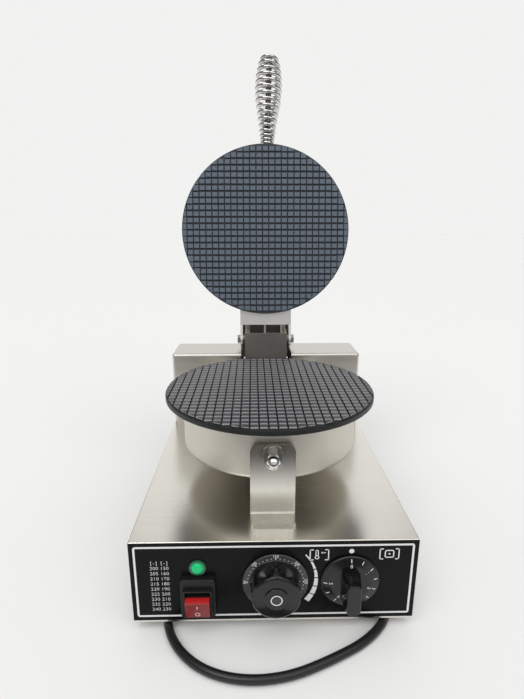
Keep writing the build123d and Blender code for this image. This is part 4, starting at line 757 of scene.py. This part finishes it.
def heated_strip(steel, lines):
    """A bracket's colour: bright low down, darkened toward the drum by painted shade under the plate, and darker
    again on its foot by painted shade.
    """
    low, high = (corner[2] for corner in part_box("front_bracket"))
    height = steel.axis(steel.coordinate(), "Z")
    plate_shade = steel.node("ShaderNodeMapRange", {}, {"Value": height, "From Min": low + shade_starts * (high - low),
                                                 "From Max": low + shade_full * (high - low)})
    clean = steel.blend(lines, (0.90, 0.88, 0.82), (0.99, 0.97, 0.91))
    # Painted shade: the strip darkens toward the drum, and the foot below is darker again.
    standing = steel.blend(plate_shade, clean, (0.37, 0.35, 0.31))
    return steel.blend(height < low + foot_height, standing, (0.60, 0.58, 0.53))


upright = (1, 1, 0.015)
bracket_steel = brushed_steel("bracket_steel", upright, gloss=0.14, shade=heated_strip)
dress(bracket_steel, "front_bracket", "rear_bracket")
dome_chrome = plated("dome_chrome", 0.86, roughness=0.05)
dress(dome_chrome, "front_dome_nut", "bracket_nuts")
dress(bright_plate, "bracket_studs")


# ---- the lower drum: a spun stainless cup that carries the lower plate --------------------------------------
# Its wall is brushed round, its floor has a rounded edge, and a flanged tube takes its leads down into the base.
def spun_steel(name, light, turn=(0, 0, 0)):
    """Stainless brushed on the lathe: lines round the wall, a satin face and soft clouding from handling."""
    steel = Finish(name, Metallic=1.0)
    lines = steel.noise(0.0009, detail=3, stretch=(0.03, 0.03, 1), turn=turn, roughness=0.7)
    clouds = steel.noise(0.035, detail=4)
    smears = steel.noise(0.012, detail=2)
    bright = (light, light * 0.965, light * 0.90)
    dull = (0.74 * light, 0.70 * light, 0.61 * light)
    steel.set(Base_Color=steel.blend(0.35 * lines + 0.40 * clouds + 0.25 * smears, dull, bright),
              Roughness=0.36 + 0.10 * clouds + 0.06 * lines)
    return steel.bump(lines, 0.00004, 0.3)


lower_spun = spun_steel("lower_spun_steel", 0.78)
dress(lower_spun, "lower_drum", "lead_conduit")


# ---- the lower baking plate: cast metal with a square grid, under a dark non-stick coat ----------------------
# The face is milled into pads 7.8 mm apart with sloped walls between them, up to a narrow rim, and a boss under it
# holds the heating element in a groove.
plate_low, plate_high = (Vector(corner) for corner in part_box("lower_plate"))
drum_low, drum_high = (Vector(corner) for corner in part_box("lower_drum"))
plate_radius = (plate_high.x - plate_low.x) / 2
plate_centre = Vector(((plate_low.x + plate_high.x) / 2, (plate_low.y + plate_high.y) / 2, plate_high.z))
plate_thickness = plate_high.z - drum_high.z
boss_floor = plate_low.z - plate_high.z
boss_radius = (drum_high.x - drum_low.x) / 2 - 0.012
grid_pitch, groove_floor, groove_wall, groove_depth, pad_edge = 0.0078, 0.00035, 0.0004, 0.0018, 0.0003
pad_length_share = 0.85
rim_width, rim_edge, plate_sides = 0.0007, 0.0005, 192
heater_ring, heater_tube, heater_groove = 0.060, 0.004, 0.003
smallest_pad, smallest_edge, most_corners = 0.000016, 0.0006, 63
wall_below = 0.0010


def select_faces(mesh_object, wanted):
    """Selects the faces that a test wants, in edit mode."""
    working = bmesh.from_edit_mesh(mesh_object.data)
    for face in working.faces:
        face.select_set(wanted(face))
    working.select_flush(True)
    bmesh.update_edit_mesh(mesh_object.data)


def raise_pads(plate, wanted, even):
    """Sinks the grooves round the wanted cells: a flat floor, a sloped wall and a small edge up to each pad."""
    select_faces(plate, wanted)
    bpy.ops.mesh.inset(thickness=groove_floor, use_individual=True, use_even_offset=even)
    bpy.ops.mesh.inset(thickness=groove_wall, depth=groove_depth - pad_edge, use_individual=True,
                       use_even_offset=even)
    bpy.ops.mesh.inset(thickness=pad_edge, depth=pad_edge, use_individual=True, use_even_offset=even)


def shorten_pads(plate):
    """Widens the crosswise grooves: each raised pad is drawn in toward the middle of its row."""
    working = bmesh.from_edit_mesh(plate.data)
    for vertex in working.verts:
        if vertex.co.z > pad_edge:
            row = (math.floor(vertex.co.y / grid_pitch) + 0.5) * grid_pitch
            vertex.co.y = row + (vertex.co.y - row) * pad_length_share
    bmesh.update_edit_mesh(plate.data)


def grid_plate(name):
    """A baking plate at the origin with its face up, its pads' tops at height 0."""
    pick()
    bpy.ops.mesh.primitive_circle_add(vertices=plate_sides, radius=plate_radius - rim_width, fill_type="NGON",
                                      location=(0, 0, 0))
    plate = bpy.context.object
    plate.name = name
    bpy.ops.object.mode_set(mode="EDIT")
    lines = int(plate_radius / grid_pitch)
    for direction in ((1, 0, 0), (0, 1, 0)):
        for line in range(-lines, lines + 1):
            bpy.ops.mesh.select_all(action="SELECT")
            place = (line - 0.5 * direction[0]) * grid_pitch
            bpy.ops.mesh.bisect(plane_co=tuple(place * part for part in direction), plane_no=direction)
    bpy.ops.mesh.select_all(action="SELECT")
    bpy.ops.mesh.remove_doubles(threshold=smallest_edge)
    bpy.ops.mesh.select_mode(type="FACE")
    whole_pad = 0.98 * grid_pitch ** 2
    raise_pads(plate, lambda face: face.calc_area() > whole_pad, True)
    shorten_pads(plate)
    raise_pads(plate, lambda face: len(face.verts) <= most_corners and smallest_pad < face.calc_area() < whole_pad
               and abs(face.calc_center_median().z) < pad_edge, False)
    bpy.ops.mesh.select_mode(type="EDGE")
    bpy.ops.mesh.select_all(action="SELECT")
    bpy.ops.transform.translate(value=(0, 0, -groove_depth))
    groove = [(heater_ring + heater_tube * math.cos(math.radians(angle)),
               boss_floor - heater_tube + heater_groove + heater_tube * math.sin(math.radians(angle)))
              for angle in range(15, 180, 15)]
    turn_loops(plate, (plate_radius - rim_width, -groove_depth), [
        (plate_radius - rim_edge, -groove_depth), (plate_radius - 0.3 * rim_edge, -groove_depth - 0.25 * rim_edge),
        (plate_radius, -groove_depth - rim_edge), (plate_radius, 0.3 * rim_edge - plate_thickness),
        (plate_radius - 0.3 * rim_edge, -plate_thickness), (boss_radius, -plate_thickness),
        (boss_radius, boss_floor)] + groove + [(0.45 * heater_ring, boss_floor)])
    bpy.ops.mesh.select_all(action="SELECT")
    bpy.ops.mesh.normals_make_consistent(inside=False)
    bpy.ops.object.mode_set(mode="OBJECT")
    bpy.ops.object.shade_smooth_by_angle(angle=math.radians(28))
    return plate


def coated(name, tint, pad_sheen_and_wear, stands, wall_highlight=0.0):
    """Dark non-stick coat with a fine orange peel and baked-on haze. Its pads are painted paler, partly wear where
    the wafers lie and partly painted sheen. Their edges are paler still, partly wear and partly painted highlight,
    and the crosswise groove walls may take painted highlights.
    """
    coat = Finish(name)
    flat = coat.measured_from(stands.translation, stands.to_euler())
    height = coat.axis(flat, "Z")
    on_pad, on_top = height > -1.05 * pad_edge, height > -0.1 * pad_edge
    haze = coat.noise(0.030, detail=4)
    stain = coat.noise(0.006, detail=3)
    paler, edge_highlight_and_wear = (tuple(share * value for value in pad_sheen_and_wear) for share in (1.35, 2.0))
    # Pad tops paler: partly wear, partly painted sheen. Pad edges paler still: partly wear, partly painted highlight.
    pad = coat.blend(on_top, edge_highlight_and_wear, coat.blend(0.6 * haze + 0.4 * stain, pad_sheen_and_wear, paler))
    shade = coat.blend(on_pad, tint, pad)
    # Painted highlights on the crosswise groove walls.
    if wall_highlight:
        facing = coat.axis(coat.coordinate("Normal"), "Y")
        reach = coat.node("ShaderNodeVectorMath", {"operation": "LENGTH"}, {0: flat}, output="Value")
        on_wall = (facing * facing > 0.25) * (height > -wall_below) * (reach < plate_radius - 2 * rim_width)
        shade = coat.blend(on_wall, shade, tuple(wall_highlight * value for value in pad_sheen_and_wear))
    coat.set(Base_Color=shade, Roughness=0.34 + 0.16 * haze)
    return coat.bump(coat.noise(0.0007, detail=2), 0.00004, 0.5)


lower_coat = coated("lower_coat", (0.010, 0.011, 0.012), (0.042, 0.042, 0.044), Matrix.Translation(plate_centre),
                    wall_highlight=5.5)
lower_grid = grid_plate("lower_grid_plate")
upper_grid = lower_grid.copy()
upper_grid.data = lower_grid.data.copy()
upper_grid.name = "upper_grid_plate"
scene.collection.objects.link(upper_grid)
lower_grid.data.transform(Matrix.Translation(plate_centre))
lower_grid.data.materials.append(lower_coat.material)
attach(lower_grid, "root")
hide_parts("lower_plate")


# ---- the heating stacks: a bent tube heater, its clamp plate and a mineral wool disc under each plate --------
# The tube is swaged steel, tinted by heat, and its clamp is drawn up by three screws. They hide in the drums.
heat_tinted = mottled("heat_tinted", 0.02, 3, (0.20, 0.17, 0.15), (0.42, 0.36, 0.30), 0.35, vary=0.2, Metallic=1.0)
dress(heat_tinted, "lower_heater", "upper_heater", "lower_heater_clamp", "upper_heater_clamp")
dress(bright_plate, "lower_clamp_screws", "upper_clamp_screws")
wool = Finish("mineral_wool", Roughness=0.9, Sheen_Weight=0.2)
felt = 0.5 * wool.noise(0.0009, detail=5, stretch=(1, 1, 6)) + 0.5 * wool.noise(0.012, detail=3)
wool.set(Base_Color=wool.blend(felt, (0.50, 0.46, 0.36), (0.78, 0.74, 0.64)))
wool.bump(felt, 0.0010, 0.8)
dress(wool, "lower_insulation", "upper_insulation")


# ---- the rear housing and the hinge: a folded cover, a column with two cheeks and the pivot hardware ---------
# The cover is notched for the lid's arm. The column is screwed to the base inside it, a dark plate closes its
# front over the lid's leads, and another on its back stops the open lid. Two bolts in bronze bushes are the axis.
across = (0.01, 1, 1)
housing_steel = brushed_steel("housing_steel", across, gloss=0.24, light=0.78)
dress(housing_steel, "rear_housing")
column_steel = brushed_steel("column_steel", upright, gloss=0.26, light=0.68, warmth=0.86)
dress(column_steel, "hinge_column")
# Both plates take a dark coat. On the stop plate its darkness is partly painted shade between the column's cheeks.
dark_coat_and_shade = mottled("dark_coat_and_shade", 0.02, 4, (0.095, 0.085, 0.078), (0.150, 0.136, 0.126), 0.42, vary=0.15)
dark_coat_and_shade.bump(dark_coat_and_shade.noise(0.0008, detail=2), 0.00006, 0.5)
dress(dark_coat_and_shade, "wire_cover", "hinge_stop")
dress(bright_plate, "column_screws", "pivot_bolts", "pivot_nuts")
bush_bronze = plated("bush_bronze", 0.24, roughness=0.40, tint=(1.0, 0.90, 0.74))
dress(bush_bronze, "pivot_bushes")


# ---- the lid: the hinge arm, the upper drum and the upper baking plate ---------------------------------------
# The arm is a folded strip coped to the drum's wall. The lid is the lower half over again, turned face down and
# swung up on its hinge, here open against its stop.
hinge = joint_named("lid_hinge")
lid_pivot = Vector(hinge["pos_m"])
lid_swing = math.radians(hinge["range_deg"][1])
wafer_gap = 0.002
to_open = Matrix.Translation(lid_pivot) @ Matrix.Rotation(-lid_swing, 4, "X") @ Matrix.Translation(-lid_pivot)
closed_face = plate_centre + Vector((0, 0, wafer_gap))

arm_steel = brushed_steel("arm_steel", across, gloss=0.30, light=0.88, warmth=0.96)
dress(arm_steel, "lid_arm")
lid_spun = spun_steel("lid_spun_steel", 0.70, turn=(-lid_swing, 0, 0))
dress(lid_spun, "lid_drum")

face_out = to_open @ Matrix.Translation(closed_face) @ Matrix.Rotation(math.pi, 4, "Y")
upper_coat = coated("upper_coat", (0.028, 0.034, 0.042), (0.083, 0.104, 0.131), face_out)
upper_grid.data.transform(face_out)
upper_grid.data.materials.append(upper_coat.material)
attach(upper_grid, "lid")
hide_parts("upper_plate")


# ---- the handle: a threaded rod through the drum's wall and a coil of spring wire wound round it --------------
# The wire is nickel plated, close at the neck and open over the swell, so that the grip stays cool. It sits on
# the outer nut and grips the rod's end with its last turn.
handle_height, handle_turn = 0.022, math.radians(1.5)
handle_length, wire_radius = 0.1210, 0.0021
neck_end, swell_start, neck_pitch, swell_pitch = 0.024, 0.038, 0.0044, 0.0073
grip_start = drum_low.y - 0.005
grip_outline = [(0.0, 0.0089), (0.17, 0.0091), (0.29, 0.0110), (0.44, 0.0137), (0.56, 0.0164), (0.69, 0.0174),
                (0.81, 0.0167), (0.92, 0.0143), (1.0, 0.0110)]
turn_steps, closing_steps = 16, 13


def grip_radius(share):
    """The coil's outer radius at a share of its length, eased between the outline's points."""
    for (before, low), (after, high) in zip(grip_outline, grip_outline[1:]):
        if share <= after:
            part = (share - before) / (after - before)
            eased = part * part * (3 - 2 * part)
            return low + (high - low) * (0.35 * eased + 0.65 * part)
    return grip_outline[-1][1]


def coil_pitch(along):
    """How far the wire climbs in one turn, at a distance from the neck."""
    part = min(max((along - neck_end) / (swell_start - neck_end), 0.0), 1.0)
    return neck_pitch + (swell_pitch - neck_pitch) * part


winding = []
along, turned, closing = wire_radius, 0.0, 0
while closing < closing_steps:
    radius = grip_radius(along / handle_length) - wire_radius
    winding.append(Vector((radius * math.sin(turned), grip_start - along, radius * math.cos(turned))))
    turned += math.tau / turn_steps
    along = min(along + coil_pitch(along) / turn_steps, handle_length - wire_radius)
    closing += along == handle_length - wire_radius

grip_to_open = (to_open @ Matrix.Translation(closed_face) @ Matrix.Rotation(handle_turn, 4, "Z")
                @ Matrix.Translation((0, -closed_face.y, handle_height)))
coil_grip = tube_along("coil_grip", wire_radius, [[grip_to_open @ place for place in winding]], 3, 4)
spring_plate = plated("spring_plate", 0.80, roughness=0.05, tint=(1, 0.99, 0.96))
coil_grip.data.materials.append(spring_plate.material)
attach(coil_grip, "lid")
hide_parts("handle_grip")
rod_steel = plated("rod_steel", 0.30, roughness=0.22)
dress(rod_steel, "handle_rod")
dress(bright_plate, "handle_nuts")


# ---- the lid's leads: two glass-braided wires from the column up to the lid ----------------------------------
# They rise inside the column behind its cover and bend into the drum, their far ends placed where the open lid holds
# them.
lead_radius, lead_rise, lead_reach = 0.0013, 0.027, 0.006
lead_line = lid_pivot.y + 0.0085
drum_radius = (drum_high.x - drum_low.x) / 2
lead_places = ((-0.003, -0.0008, 0.001), (0.014, 0.0212, 0.018))
ways = []
for low, middle, end in lead_places:
    at_drum, in_drum = (to_open @ Vector((end, plate_centre.y + drum_radius + side * lead_reach,
                                          closed_face.z + lead_rise)) for side in (1, -1))
    ways.append([(low, lead_line, panel_top - 0.008), (low, lead_line, panel_top + 0.020),
                 (middle, lead_line, panel_top + 0.050), (middle, lead_line, lid_pivot.z + 0.018),
                 at_drum, in_drum])
lid_wires = tube_along("lid_wires", lead_radius, ways, 10, 3)
lid_wires.data.materials.append(braid.material)
bpy.ops.object.convert(target="MESH")
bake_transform(lid_wires)
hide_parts("lid_leads")
